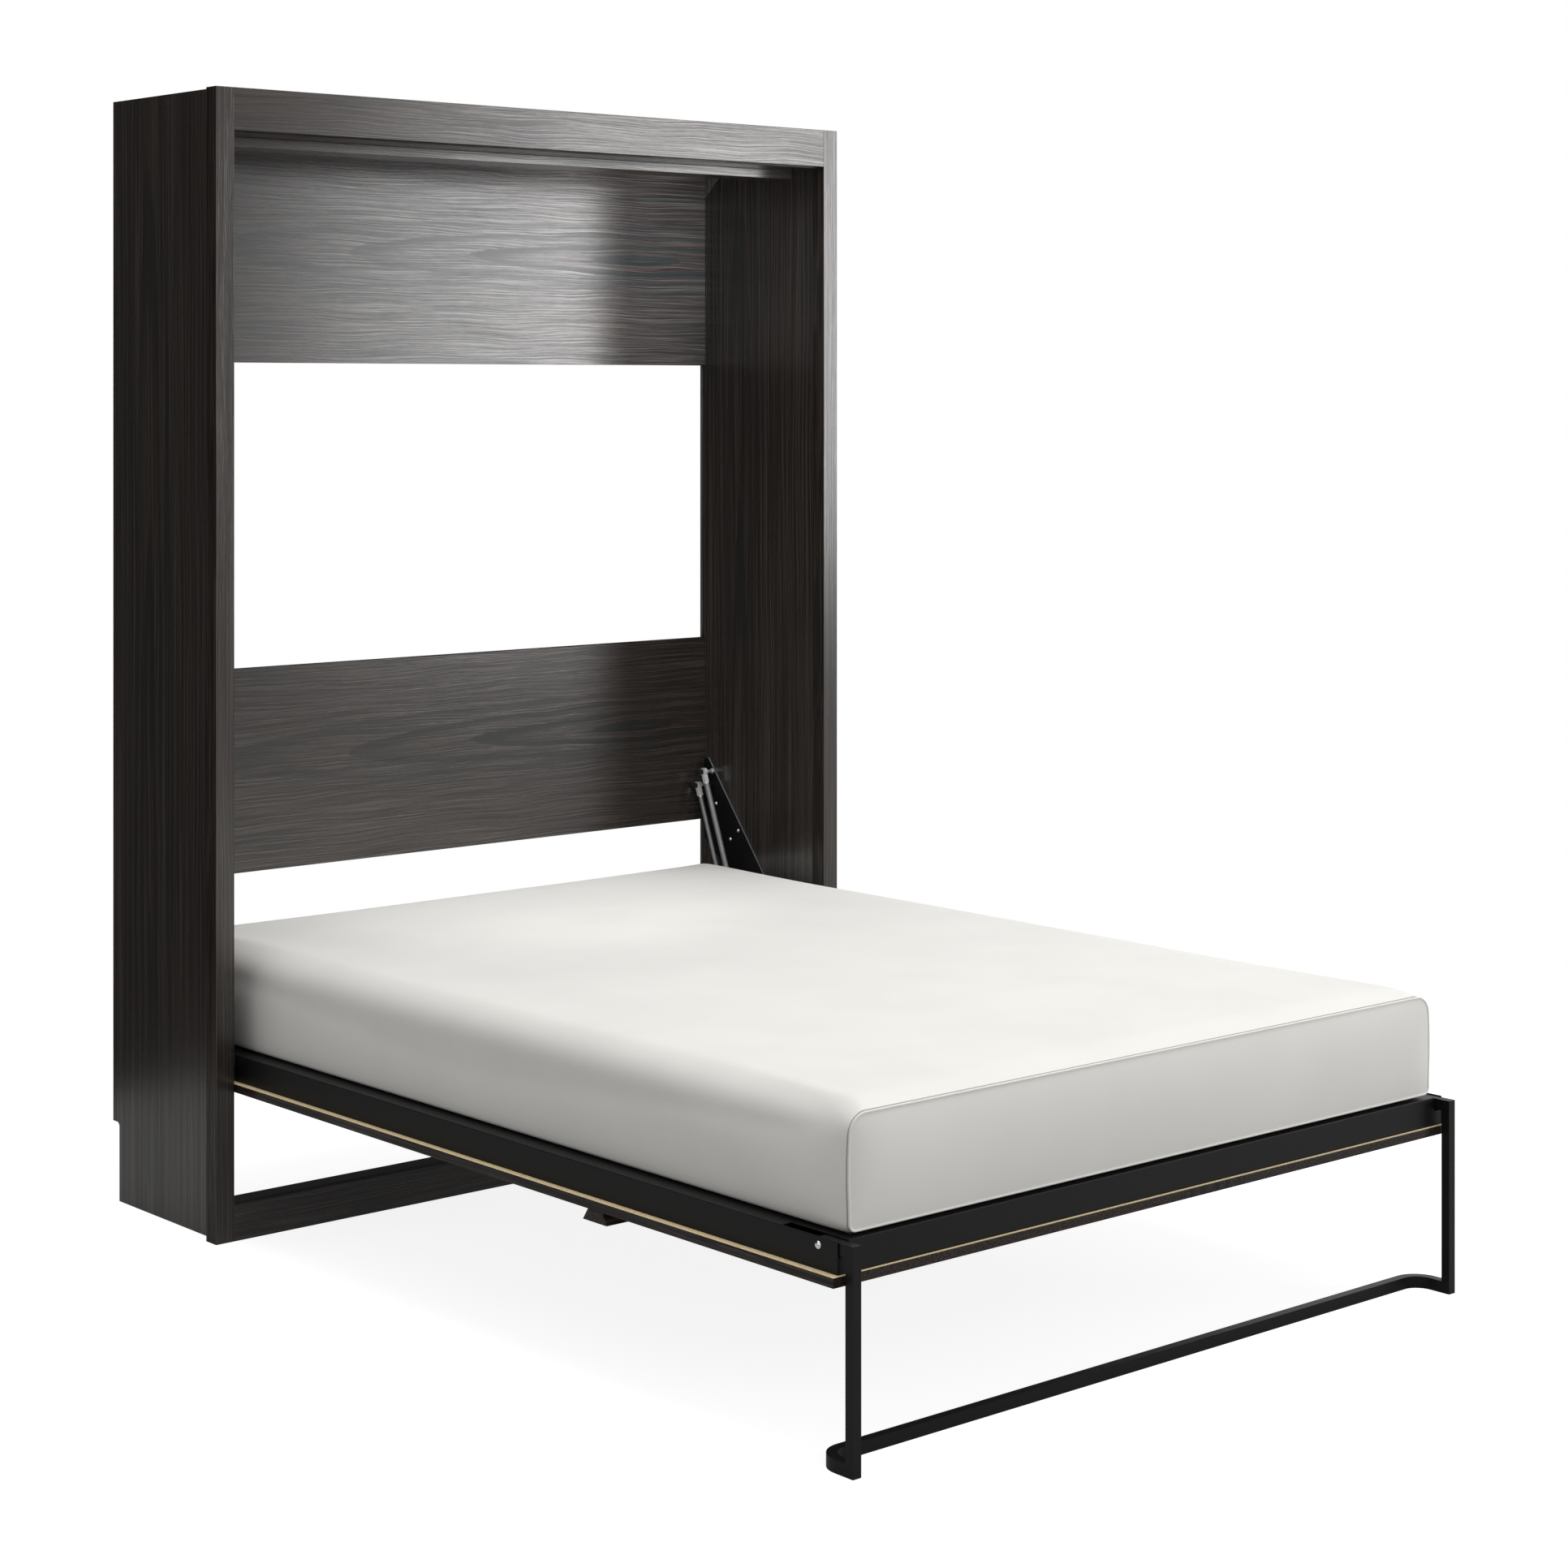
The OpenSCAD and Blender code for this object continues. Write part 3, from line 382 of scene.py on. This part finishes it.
def eased_copy(node, ease_mm, segments):
    """The node's solid with its long sharp edges rounded, as a bmesh."""
    bm = bmesh.new()
    bm.from_mesh(frame["nodes"][node].data)
    bmesh.ops.remove_doubles(bm, verts=bm.verts, dist=SAME_POINT)
    bmesh.ops.dissolve_limit(bm, angle_limit=FLAT_WITHIN, verts=bm.verts, edges=bm.edges)
    sharp = [
        edge for edge in bm.edges
        if len(edge.link_faces) == 2
        and edge.calc_face_angle() > SHARP_FROM
        and edge.calc_length() > SHORTEST_EASED
    ]
    bmesh.ops.bevel(bm, geom=sharp, offset=ease_mm * MM, segments=segments, profile=0.5,
                    affect="EDGES", clamp_overlap=True)
    bmesh.ops.recalc_face_normals(bm, faces=bm.faces)
    return bm


def finished_mesh(name, bm, materials):
    """The bmesh as a mesh with these materials, its faces of five corners and more cut up."""
    mesh = bpy.data.meshes.new(name)
    bmesh.ops.triangulate(bm, faces=[face for face in bm.faces if len(face.verts) > 4])
    bm.to_mesh(mesh)
    bm.free()
    for material in materials:
        mesh.materials.append(material)
    return mesh


def lay_grain(mesh, along, across, pith, stretch=1.0):
    """Writes where each point of a board lies in the log: along and across are axis numbers,
    and pith is the point of the board where the rings' centre comes through its face."""
    through = 3 - along - across
    spots = mesh.attributes.new("grain", "FLOAT_VECTOR", "POINT")
    for spot, vertex in zip(spots.data, mesh.vertices):
        away = vertex.co - Vector(pith)
        spot.vector = (away[along] * stretch, away[across], away[through])


# A face belongs to the broad side of a board or plate where its normal has this much of the
# direction through it; the rest are edges
BROAD_BOARD = 0.7
BROAD_PLATE = 0.8
FACES_UP = 0.9
BOARD_EASE_MM = 0.7
STEEL_EASE_MM = 1.2
PLATE_EASE_MM = 0.5


def board(node, along, across, pith, stretch=1.0, face_finish=laminate):
    """A laminated board from its CAD solid, its grain along one axis."""
    bm = eased_copy(node, BOARD_EASE_MM, 2)
    through = 3 - along - across
    for face in bm.faces:
        face.material_index = int(abs(face.normal[through]) < BROAD_BOARD)
    mesh = finished_mesh(node + "_board", bm, [face_finish, edge_band])
    lay_grain(mesh, along, across, pith, stretch)
    piece(node + "_board", mesh, body_of_node[node], "espresso_laminate", node)


def section(node, ease_mm):
    """A folded or drawn steel section from its CAD solid, with rounded bends."""
    bm = eased_copy(node, ease_mm, 3)
    # The pivot plates' edge faces take the grey painted highlight
    if "pivot_plate" in node:
        for face in bm.faces:
            face.material_index = int(abs(face.normal.x) < BROAD_PLATE)
    mesh = finished_mesh(node + "_section", bm, [powder_coat, pivot_edge_highlight])
    piece(node + "_section", mesh, body_of_node[node], "black_steel", node)


X, Y, Z = 0, 1, 2
stile_low, stile_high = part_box("left_stile")
side_low, side_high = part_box("left_side_panel")
# The printed figure repeats on both back panels: its pith lies right of the middle
FIGURE_X = 0.565
for panel in ("upper_back_panel", "lower_back_panel"):
    low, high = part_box(panel)
    board(panel, X, Z, (FIGURE_X, low.y, (low.z + high.z) / 2 + 0.02))
# Straight-grained boards come from beside the pith
board("fascia", X, Z, (2.1, stile_low.y, stile_high.z + 0.16))
board("toe_rail", X, Z, (1.4, stile_low.y, -0.21))
board("toe_rail_shelf", X, Y, (1.1, stile_low.y - 0.2, 0.05))
board("top_board", X, Y, (-0.4, side_low.y - 0.05, side_high.z), face_finish=edge_band)
board("stop_batten", X, Z, (1.9, side_low.y, side_high.z + 0.1))
for side, sign in (("left", -1), ("right", 1)):
    board(side + "_stile", Z, X, (sign * 0.70, stile_low.y, 0.2), stretch=0.5)
    board(side + "_side_panel", Z, Y, (sign * side_high.x, side_low.y + 0.26, 0.35), stretch=0.45)
board("handle_moulding", X, Y, (1.8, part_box("handle_moulding")[0].y - 0.2, 0.2))


def front_panel():
    """The panel that closes the bed: laminated outside and on its edges, bare chipboard inside."""
    bm = eased_copy("face_panel", BOARD_EASE_MM, 2)
    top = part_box("face_panel")[1].z
    for face in bm.faces:
        inner = face.normal.z > FACES_UP and face.calc_center_median().z > top - 0.1 * MM
        face.material_index = 2 if inner else int(abs(face.normal.z) < BROAD_BOARD)
    mesh = finished_mesh("face_panel_board", bm, [laminate, edge_band, raw_chipboard])
    lay_grain(mesh, Y, X, (0.1, -0.6, top), stretch=0.6)
    piece("face_panel_board", mesh, "bed", "espresso_laminate", "face_panel")


front_panel()
for node in ("left_side_rail", "right_side_rail", "foot_rail", "head_rail", "left_leg", "right_leg",
             "mattress_stop", "left_hinge_plate", "right_hinge_plate", "left_pivot_plate",
             "right_pivot_plate"):
    section(node, PLATE_EASE_MM if "plate" in node else STEEL_EASE_MM)

for node, obj in frame["nodes"].items():
    finish = die_cast_zinc if node.endswith("_eye") else finish_of_slot[slot_of_node[node]]
    for spot in obj.material_slots:
        spot.material = finish


# ---------------------------------------------------------------- mattress

base_low, base_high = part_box("mattress")
FOOT, HEAD = base_low.y, base_high.y
BASE, CROWN = base_low.z, base_high.z
HALF_WIDTH = base_high.x

# The cover: a long tube of knit that closes towards a piped seam round each end panel
CROWN_R = 56 * MM
BASE_R = 21 * MM
SEAM_DROP = 15 * MM
SEAM_RISE = 6 * MM
SEAM_NARROW = 10 * MM
SEAM_BARREL = 5 * MM
CLOSING = 13 * MM
SEAM_INSET = 6 * MM
END_BULGE = 11 * MM
SEAM_CREASE = 0.6
# Near the seams the base and crown corners grow tighter by this much
BASE_TIGHTEN = 8 * MM
CROWN_TIGHTEN = 26 * MM
SLAT_GAP = 0.5 * MM
# The knit is simulated from a shape this much smaller, and swells by as much; it is held at
# its full width on the slats, up to HELD, and narrows over SHRINK_RISE above them
SWELL = 5 * MM
HELD = 9 * MM
SHRINK_RISE = 30 * MM
ARC_STEPS = 8
SIDE_STEPS = 8
WIDTH_STEPS = 96
LENGTH_STEP = 21 * MM
# Rings stand closer together near each end, at these distances from it
NEAR_END = [d * MM for d in (0, 2, 5, 9, 15, 23, 34, 48, 66)]
# The strip of faces with the groove's painted shade lies between this ring and the next, from each end
SHADED_RING = 1


def cover_outline(half_width, low, high, base_r, crown_r, barrel):
    """Cross-section (x, z) of the mattress, from the middle of the left base corner round the
    base, the right side, the top and the left side; the sides bow out by barrel at mid-height."""
    def arc(x, z, r, start, turn, steps):
        angles = [math.radians(start + turn * step / steps) for step in range(steps)]
        return [(x + r * math.cos(angle), z + r * math.sin(angle)) for angle in angles]

    def line(x0, z0, x1, z1, steps):
        return [(x0 + (x1 - x0) * step / steps, z0 + (z1 - z0) * step / steps) for step in range(steps)]

    half_arc = ARC_STEPS // 2
    base_x, crown_x = half_width - base_r, half_width - crown_r
    base_z, crown_z = low + base_r, high - crown_r
    points = (arc(-base_x, base_z, base_r, 225, 45, half_arc)
              + line(-base_x, low, base_x, low, WIDTH_STEPS)
              + arc(base_x, base_z, base_r, -90, 90, ARC_STEPS)
              + line(half_width, base_z, half_width, crown_z, SIDE_STEPS)
              + arc(crown_x, crown_z, crown_r, 0, 90, ARC_STEPS)
              + line(crown_x, high, -crown_x, high, WIDTH_STEPS)
              + arc(-crown_x, crown_z, crown_r, 90, 90, ARC_STEPS)
              + line(-half_width, crown_z, -half_width, base_z, SIDE_STEPS)
              + arc(-base_x, base_z, base_r, 180, 45, half_arc))
    middle, half_height = (low + high) / 2, (high - low) / 2
    return [(x * (1 + barrel / half_width * (1 - ((z - middle) / half_height) ** 2)), z) for x, z in points]


def end_panel(bm, ring, outwards):
    """Fills a seam ring with a grid of faces that bulges outwards along Y. A point inside is
    blended from the four sides of the ring."""
    across = WIDTH_STEPS + ARC_STEPS
    up = SIDE_STEPS + ARC_STEPS
    base = ring[:across + 1]
    right = ring[across:across + up + 1]
    top = ring[across + up:2 * across + up + 1][::-1]
    left = [ring[0]] + ring[:2 * across + up - 1:-1]
    middle = (min(v.co.z for v in ring) + max(v.co.z for v in ring)) / 2
    half_height = max(v.co.z for v in ring) - middle
    half_width = max(v.co.x for v in ring)
    rows = [base]
    for j in range(1, up):
        v = j / up
        row = [left[j]]
        for i in range(1, across):
            u = i / across
            spot = ((1 - v) * base[i].co + v * top[i].co + (1 - u) * left[j].co + u * right[j].co
                    - (1 - u) * (1 - v) * base[0].co - u * (1 - v) * base[-1].co
                    - (1 - u) * v * top[0].co - u * v * top[-1].co)
            height = max(0.0, 1 - ((spot.z - middle) / half_height) ** 2)
            inset = 1 - math.exp(-(half_width - abs(spot.x)) / (2 * CLOSING))
            spot.y += outwards * END_BULGE * height ** 0.75 * inset
            row.append(bm.verts.new(spot))
        rows.append(row + [right[j]])
    rows.append(top)
    for lower, upper in zip(rows, rows[1:]):
        for i in range(across):
            bm.faces.new((lower[i], lower[i + 1], upper[i + 1], upper[i]))


def mattress_shape(shrink):
    """Closed cover before it swells, with the attribute "seam" set to 1 along both seams."""
    bm = bmesh.new()
    seam = bm.verts.layers.float.new("seam")
    length = HEAD - FOOT
    straight = length - 2 * NEAR_END[-1]
    steps = round(straight / LENGTH_STEP)
    stations = (NEAR_END + [NEAR_END[-1] + straight * i / steps for i in range(1, steps)]
                + [length - d for d in reversed(NEAR_END)])
    rings = []
    for station in stations:
        close = math.exp(-min(station, length - station) / CLOSING)
        outline = cover_outline(
            HALF_WIDTH - shrink * (1 - close) - SEAM_NARROW * close,
            BASE + SLAT_GAP + SEAM_RISE * close,
            CROWN - shrink * (1 - close) - SEAM_DROP * close,
            BASE_R - BASE_TIGHTEN * close, CROWN_R - CROWN_TIGHTEN * close, SEAM_BARREL * close)
        place = FOOT + SEAM_INSET + (length - 2 * SEAM_INSET) * station / length
        ring = []
        for x, z in outline:
            widen = shrink / HALF_WIDTH * max(0.0, 1 - (z - BASE) / SHRINK_RISE)
            ring.append(bm.verts.new((x * (1 + widen), place, z)))
        rings.append(ring)
    # These two strips of faces carry the painted shade of the seam's groove
    shaded_strips = (SHADED_RING, len(rings) - 2 - SHADED_RING)
    for number, (near, far) in enumerate(zip(rings, rings[1:])):
        for i in range(len(near)):
            j = (i + 1) % len(near)
            face = bm.faces.new((near[i], near[j], far[j], far[i]))
            face.material_index = int(number in shaded_strips)
    for ring, outwards in ((rings[0], -1), (rings[-1], 1)):
        for vertex in ring:
            vertex[seam] = 1.0
        end_panel(bm, ring, outwards)
    bmesh.ops.recalc_face_normals(bm, faces=bm.faces)
    crease = bm.edges.layers.float.new("crease_edge")
    for edge in bm.edges:
        if all(vertex[seam] == 1.0 for vertex in edge.verts):
            edge[crease] = SEAM_CREASE
    return finished_mesh("mattress_cover", bm, [cover_knit, seam_groove_shade])


def swell(obj, cap):
    """Blows the cover up as its filling does, held at the seams and on the slats. No point
    moves further than cap."""
    mesh = obj.data
    before = [v.co.copy() for v in mesh.vertices]
    held = obj.vertex_groups.new(name="held")
    seam = mesh.attributes["seam"].data
    held.add([i for i, co in enumerate(before) if seam[i].value == 1.0 or co.z < BASE + HELD],
             1.0, "REPLACE")
    cloth = obj.modifiers.new("knit", "CLOTH")
    cloth.settings.use_pressure = True
    cloth.settings.uniform_pressure_force = 4.0
    cloth.settings.effector_weights.gravity = 0.0
    cloth.settings.vertex_group_mass = "held"
    cloth.settings.tension_stiffness = 12.0
    cloth.settings.compression_stiffness = 12.0
    cloth.settings.bending_stiffness = 3.0
    for number in range(1, 21):
        scene.frame_set(number)
    swollen = obj.evaluated_get(bpy.context.evaluated_depsgraph_get()).data
    moves = [vertex.co - start for vertex, start in zip(swollen.vertices, before)]
    obj.modifiers.clear()
    obj.vertex_groups.clear()
    for vertex, start, move in zip(mesh.vertices, before, moves):
        vertex.co = start + (move if move.length <= cap else move * (cap / move.length))
    scene.frame_set(1)


mattress = bpy.data.objects.new("mattress_cover", mattress_shape(SWELL))
scene.collection.objects.link(mattress)
swell(mattress, SWELL)
smooth = mattress.modifiers.new("round", "SUBSURF")
smooth.levels = smooth.render_levels = 1
depsgraph = bpy.context.evaluated_depsgraph_get()
mattress.data = bpy.data.meshes.new_from_object(mattress.evaluated_get(depsgraph))
mattress.modifiers.clear()
mattress.data.polygons.foreach_set("use_smooth", [True] * len(mattress.data.polygons))
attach(mattress, "bed")
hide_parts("mattress")


PIPING_R = 2 * MM
# How far the cord's middle stands outside the seam, along the mattress
PIPING_OUT = 0.6 * MM


def node_group(name, **inputs):
    """A Geometry Nodes tree with a geometry input and output and named inputs of its own:
    name=(socket type, value). Returns the tree, its input node and its output node."""
    group = bpy.data.node_groups.new(name, "GeometryNodeTree")
    group.interface.new_socket("Geometry", in_out="INPUT", socket_type="NodeSocketGeometry")
    group.interface.new_socket("Geometry", in_out="OUTPUT", socket_type="NodeSocketGeometry")
    for label, (kind, value) in inputs.items():
        socket = group.interface.new_socket(label, in_out="INPUT", socket_type=kind)
        if value is not None:
            socket.default_value = value
    return group, group.nodes.new("NodeGroupInput"), group.nodes.new("NodeGroupOutput")


def grown(name, mesh, group, **values):
    """The plain mesh that a Geometry Nodes tree makes from a mesh."""
    obj = bpy.data.objects.new(name, mesh)
    scene.collection.objects.link(obj)
    modifier = obj.modifiers.new(name, "NODES")
    modifier.node_group = group
    identifiers = {item.name: item.identifier for item in group.interface.items_tree
                   if item.item_type == "SOCKET" and item.in_out == "INPUT"}
    for label, value in values.items():
        modifier[identifiers[label]] = value
    depsgraph = bpy.context.evaluated_depsgraph_get()
    result = bpy.data.meshes.new_from_object(obj.evaluated_get(depsgraph))
    bpy.data.objects.remove(obj)
    return result


def piping_tree():
    """Turns a ring of edges into a round cord that follows it."""
    group, start, end = node_group(
        "piping", Radius=("NodeSocketFloat", PIPING_R), Sides=("NodeSocketInt", 10),
        Cover=("NodeSocketMaterial", None))
    path = add(group, "GeometryNodeMeshToCurve", {"Mesh": start.outputs["Geometry"]})
    profile = add(group, "GeometryNodeCurvePrimitiveCircle",
                  {"Resolution": start.outputs["Sides"], "Radius": start.outputs["Radius"]})
    cord = add(group, "GeometryNodeCurveToMesh", {"Curve": path, "Profile Curve": profile})
    soft = add(group, "GeometryNodeSetShadeSmooth", {"Geometry": cord})
    whole = add(group, "GeometryNodeRealizeInstances", {"Geometry": soft})
    dressed = add(group, "GeometryNodeSetMaterial",
                  {"Geometry": whole, "Material": start.outputs["Cover"]})
    group.links.new(dressed.outputs[0], end.inputs[0])
    return group


def seam_ring(name, towards_foot):
    """The seam's edges at one end of the swollen mattress, as a mesh of its own."""
    bm = bmesh.new()
    bm.from_mesh(mattress.data)
    seam = bm.verts.layers.float["seam"]
    middle = (FOOT + HEAD) / 2
    off = [v for v in bm.verts if v[seam] < 0.99 or (v.co.y < middle) != towards_foot]
    bmesh.ops.delete(bm, geom=off, context="VERTS")
    bmesh.ops.delete(bm, geom=list(bm.faces), context="FACES_ONLY")
    for vertex in bm.verts:
        vertex.co.y += -PIPING_OUT if towards_foot else PIPING_OUT
    mesh = bpy.data.meshes.new(name)
    bm.to_mesh(mesh)
    bm.free()
    return mesh


cord_tree = piping_tree()
for end_name, towards_foot in (("foot", True), ("head", False)):
    ring_mesh = seam_ring(end_name + "_seam", towards_foot)
    cord_mesh = grown(end_name + "_piping", ring_mesh, cord_tree, Radius=PIPING_R, Cover=piping_tape)
    piece(end_name + "_piping", cord_mesh, "bed", "mattress_cover")


# ---------------------------------------------------------------- studio

def area_light(name, place, target, width, height, radiance):
    """A white soft box; its power follows from the radiance that its face shows."""
    lamp = bpy.data.lights.new(name, "AREA")
    lamp.shape = "RECTANGLE"
    lamp.size, lamp.size_y = width, height
    lamp.energy = radiance * math.pi * width * height
    aimed(name, lamp, place, target)


def spot_light(name, place, target, angle, energy, colour):
    """A narrow beam with a soft rim, which gloss doesn't see."""
    lamp = bpy.data.lights.new(name, "SPOT")
    lamp.energy = energy
    lamp.color = linear(colour)[:3]
    lamp.shadow_soft_size = 0.1
    lamp.spot_size = math.radians(angle)
    lamp.spot_blend = 1.0
    aimed(name, lamp, place, target).visible_glossy = False


def aimed(name, lamp, place, target):
    """Hangs a lamp at a place and turns it towards a target."""
    obj = bpy.data.objects.new(name, lamp)
    obj.location = place
    obj.rotation_euler = (Vector(target) - Vector(place)).to_track_quat("-Z", "Y").to_euler()
    scene.collection.objects.link(obj)
    return obj


area_light("overhead_box", (0.2, -0.9, 4.4), (0.0, -0.4, 0.5), 3.4, 3.0, 3.4)
area_light("window_box", (5.1, -5.0, 2.1), (0.3, 1.1, 1.8), 2.3, 2.45, 7.1)
# These go in under the fascia: one lifts the right end of the upper back panel, the other the
# head end of the mattress
spot_light("panel_beam", (0.2, -4.2, 1.55), (0.52, 1.1, 1.95), 9.0, 3600.0, "#e0f1ff")
spot_light("head_beam", (-0.3, -2.2, 4.2), (0.0, 0.8, 0.56), 15.0, 200.0, "#ffffff")


def stage_plane(name, corners, material):
    """A flat sheet of the studio, not part of the bed."""
    mesh = bpy.data.meshes.new(name)
    mesh.from_pydata(corners, [], [(0, 1, 2, 3)])
    mesh.materials.append(material)
    obj = bpy.data.objects.new(name, mesh)
    scene.collection.objects.link(obj)
    return obj


WHITE = (1, 1, 1, 1)
FLOOR_LIFT = 0.86
# Gloss sees a fifth of the lift, which keeps the floor's reflection in the boards faint
GLOSS_LIFT = 0.2
# The floor turns fully white between these distances from the bed's middle
FADE_FROM, FADE_TO = 1.6, 3.2
REACH = 30.0
FLAG_STRENGTH = 0.04
# Strength of the white world on the bed; what looks at it directly sees 1
AMBIENT = 0.43

# White studio floor: the camera sees it lifted to white and fading into the backdrop, and the
# shadow under the bed stays
floor_paint = bpy.data.materials.new("floor_matt_white")
tree = empty_tree(floor_paint)
paint = add(tree, "ShaderNodeBsdfDiffuse", {"Color": linear("#b6b6b6")})
lift = add(tree, "ShaderNodeEmission", {"Color": WHITE, "Strength": FLOOR_LIFT})
lifted = add(tree, "ShaderNodeAddShader", {0: paint, 1: lift})
white = add(tree, "ShaderNodeEmission", {"Color": WHITE, "Strength": 1.0})
place = add(tree, "ShaderNodeTexCoord").outputs["Object"]
away = add(tree, "ShaderNodeVectorMath", {0: place}, operation="LENGTH")
fade = add(tree, RANGE, {0: away.outputs["Value"], 1: FADE_FROM, 2: FADE_TO},
           interpolation_type="SMOOTHSTEP")
ground = add(tree, "ShaderNodeMixShader", {0: fade, 1: lifted, 2: white})
rays = add(tree, "ShaderNodeLightPath").outputs
straight_on = add(tree, MATH, {0: rays["Is Camera Ray"], 1: rays["Is Transmission Ray"]},
                  operation="MAXIMUM")
share = add(tree, MATH, {0: rays["Is Glossy Ray"], 1: GLOSS_LIFT, 2: straight_on},
            operation="MULTIPLY_ADD")
seen = add(tree, "ShaderNodeMixShader", {0: share, 1: paint, 2: ground})
add(tree, "ShaderNodeOutputMaterial", {"Surface": seen})
stage_plane("floor", [(-REACH, -REACH, 0), (REACH, -REACH, 0), (REACH, REACH, 0), (-REACH, REACH, 0)],
            floor_paint)

# Dark flags behind the cabinet and beyond the window box: only gloss sees them, and they keep the
# boards' shaded sides dark
flag_cloth = bpy.data.materials.new("flag_dark_felt")
tree = empty_tree(flag_cloth)
felt = add(tree, "ShaderNodeEmission", {"Color": WHITE, "Strength": FLAG_STRENGTH})
add(tree, "ShaderNodeOutputMaterial", {"Surface": felt})
FLAG_FOOT = 0.02
for number, (left, right, y, top) in enumerate(((-4.5, 3.2, 1.9, 3.4), (2.6, 11.0, -8.0, 6.0))):
    flag = stage_plane("flag_%d" % number, [(left, y, FLAG_FOOT), (right, y, FLAG_FOOT),
                                            (right, y, top), (left, y, top)], flag_cloth)
    flag.visible_camera = False
    flag.visible_diffuse = False
    flag.visible_transmission = False
    flag.visible_shadow = False

world = bpy.data.worlds.new("studio")
scene.world = world
tree = empty_tree(world)
rays = add(tree, "ShaderNodeLightPath").outputs
seen = add(tree, MATH, {0: rays["Is Camera Ray"], 1: rays["Is Glossy Ray"]}, operation="MAXIMUM")
seen = add(tree, MATH, {0: seen, 1: rays["Is Transmission Ray"]}, operation="MAXIMUM")
level = add(tree, RANGE, {0: seen, 3: AMBIENT, 4: 1.0})
backdrop = add(tree, "ShaderNodeBackground", {"Color": WHITE, "Strength": level})
add(tree, "ShaderNodeOutputWorld", {"Surface": backdrop})
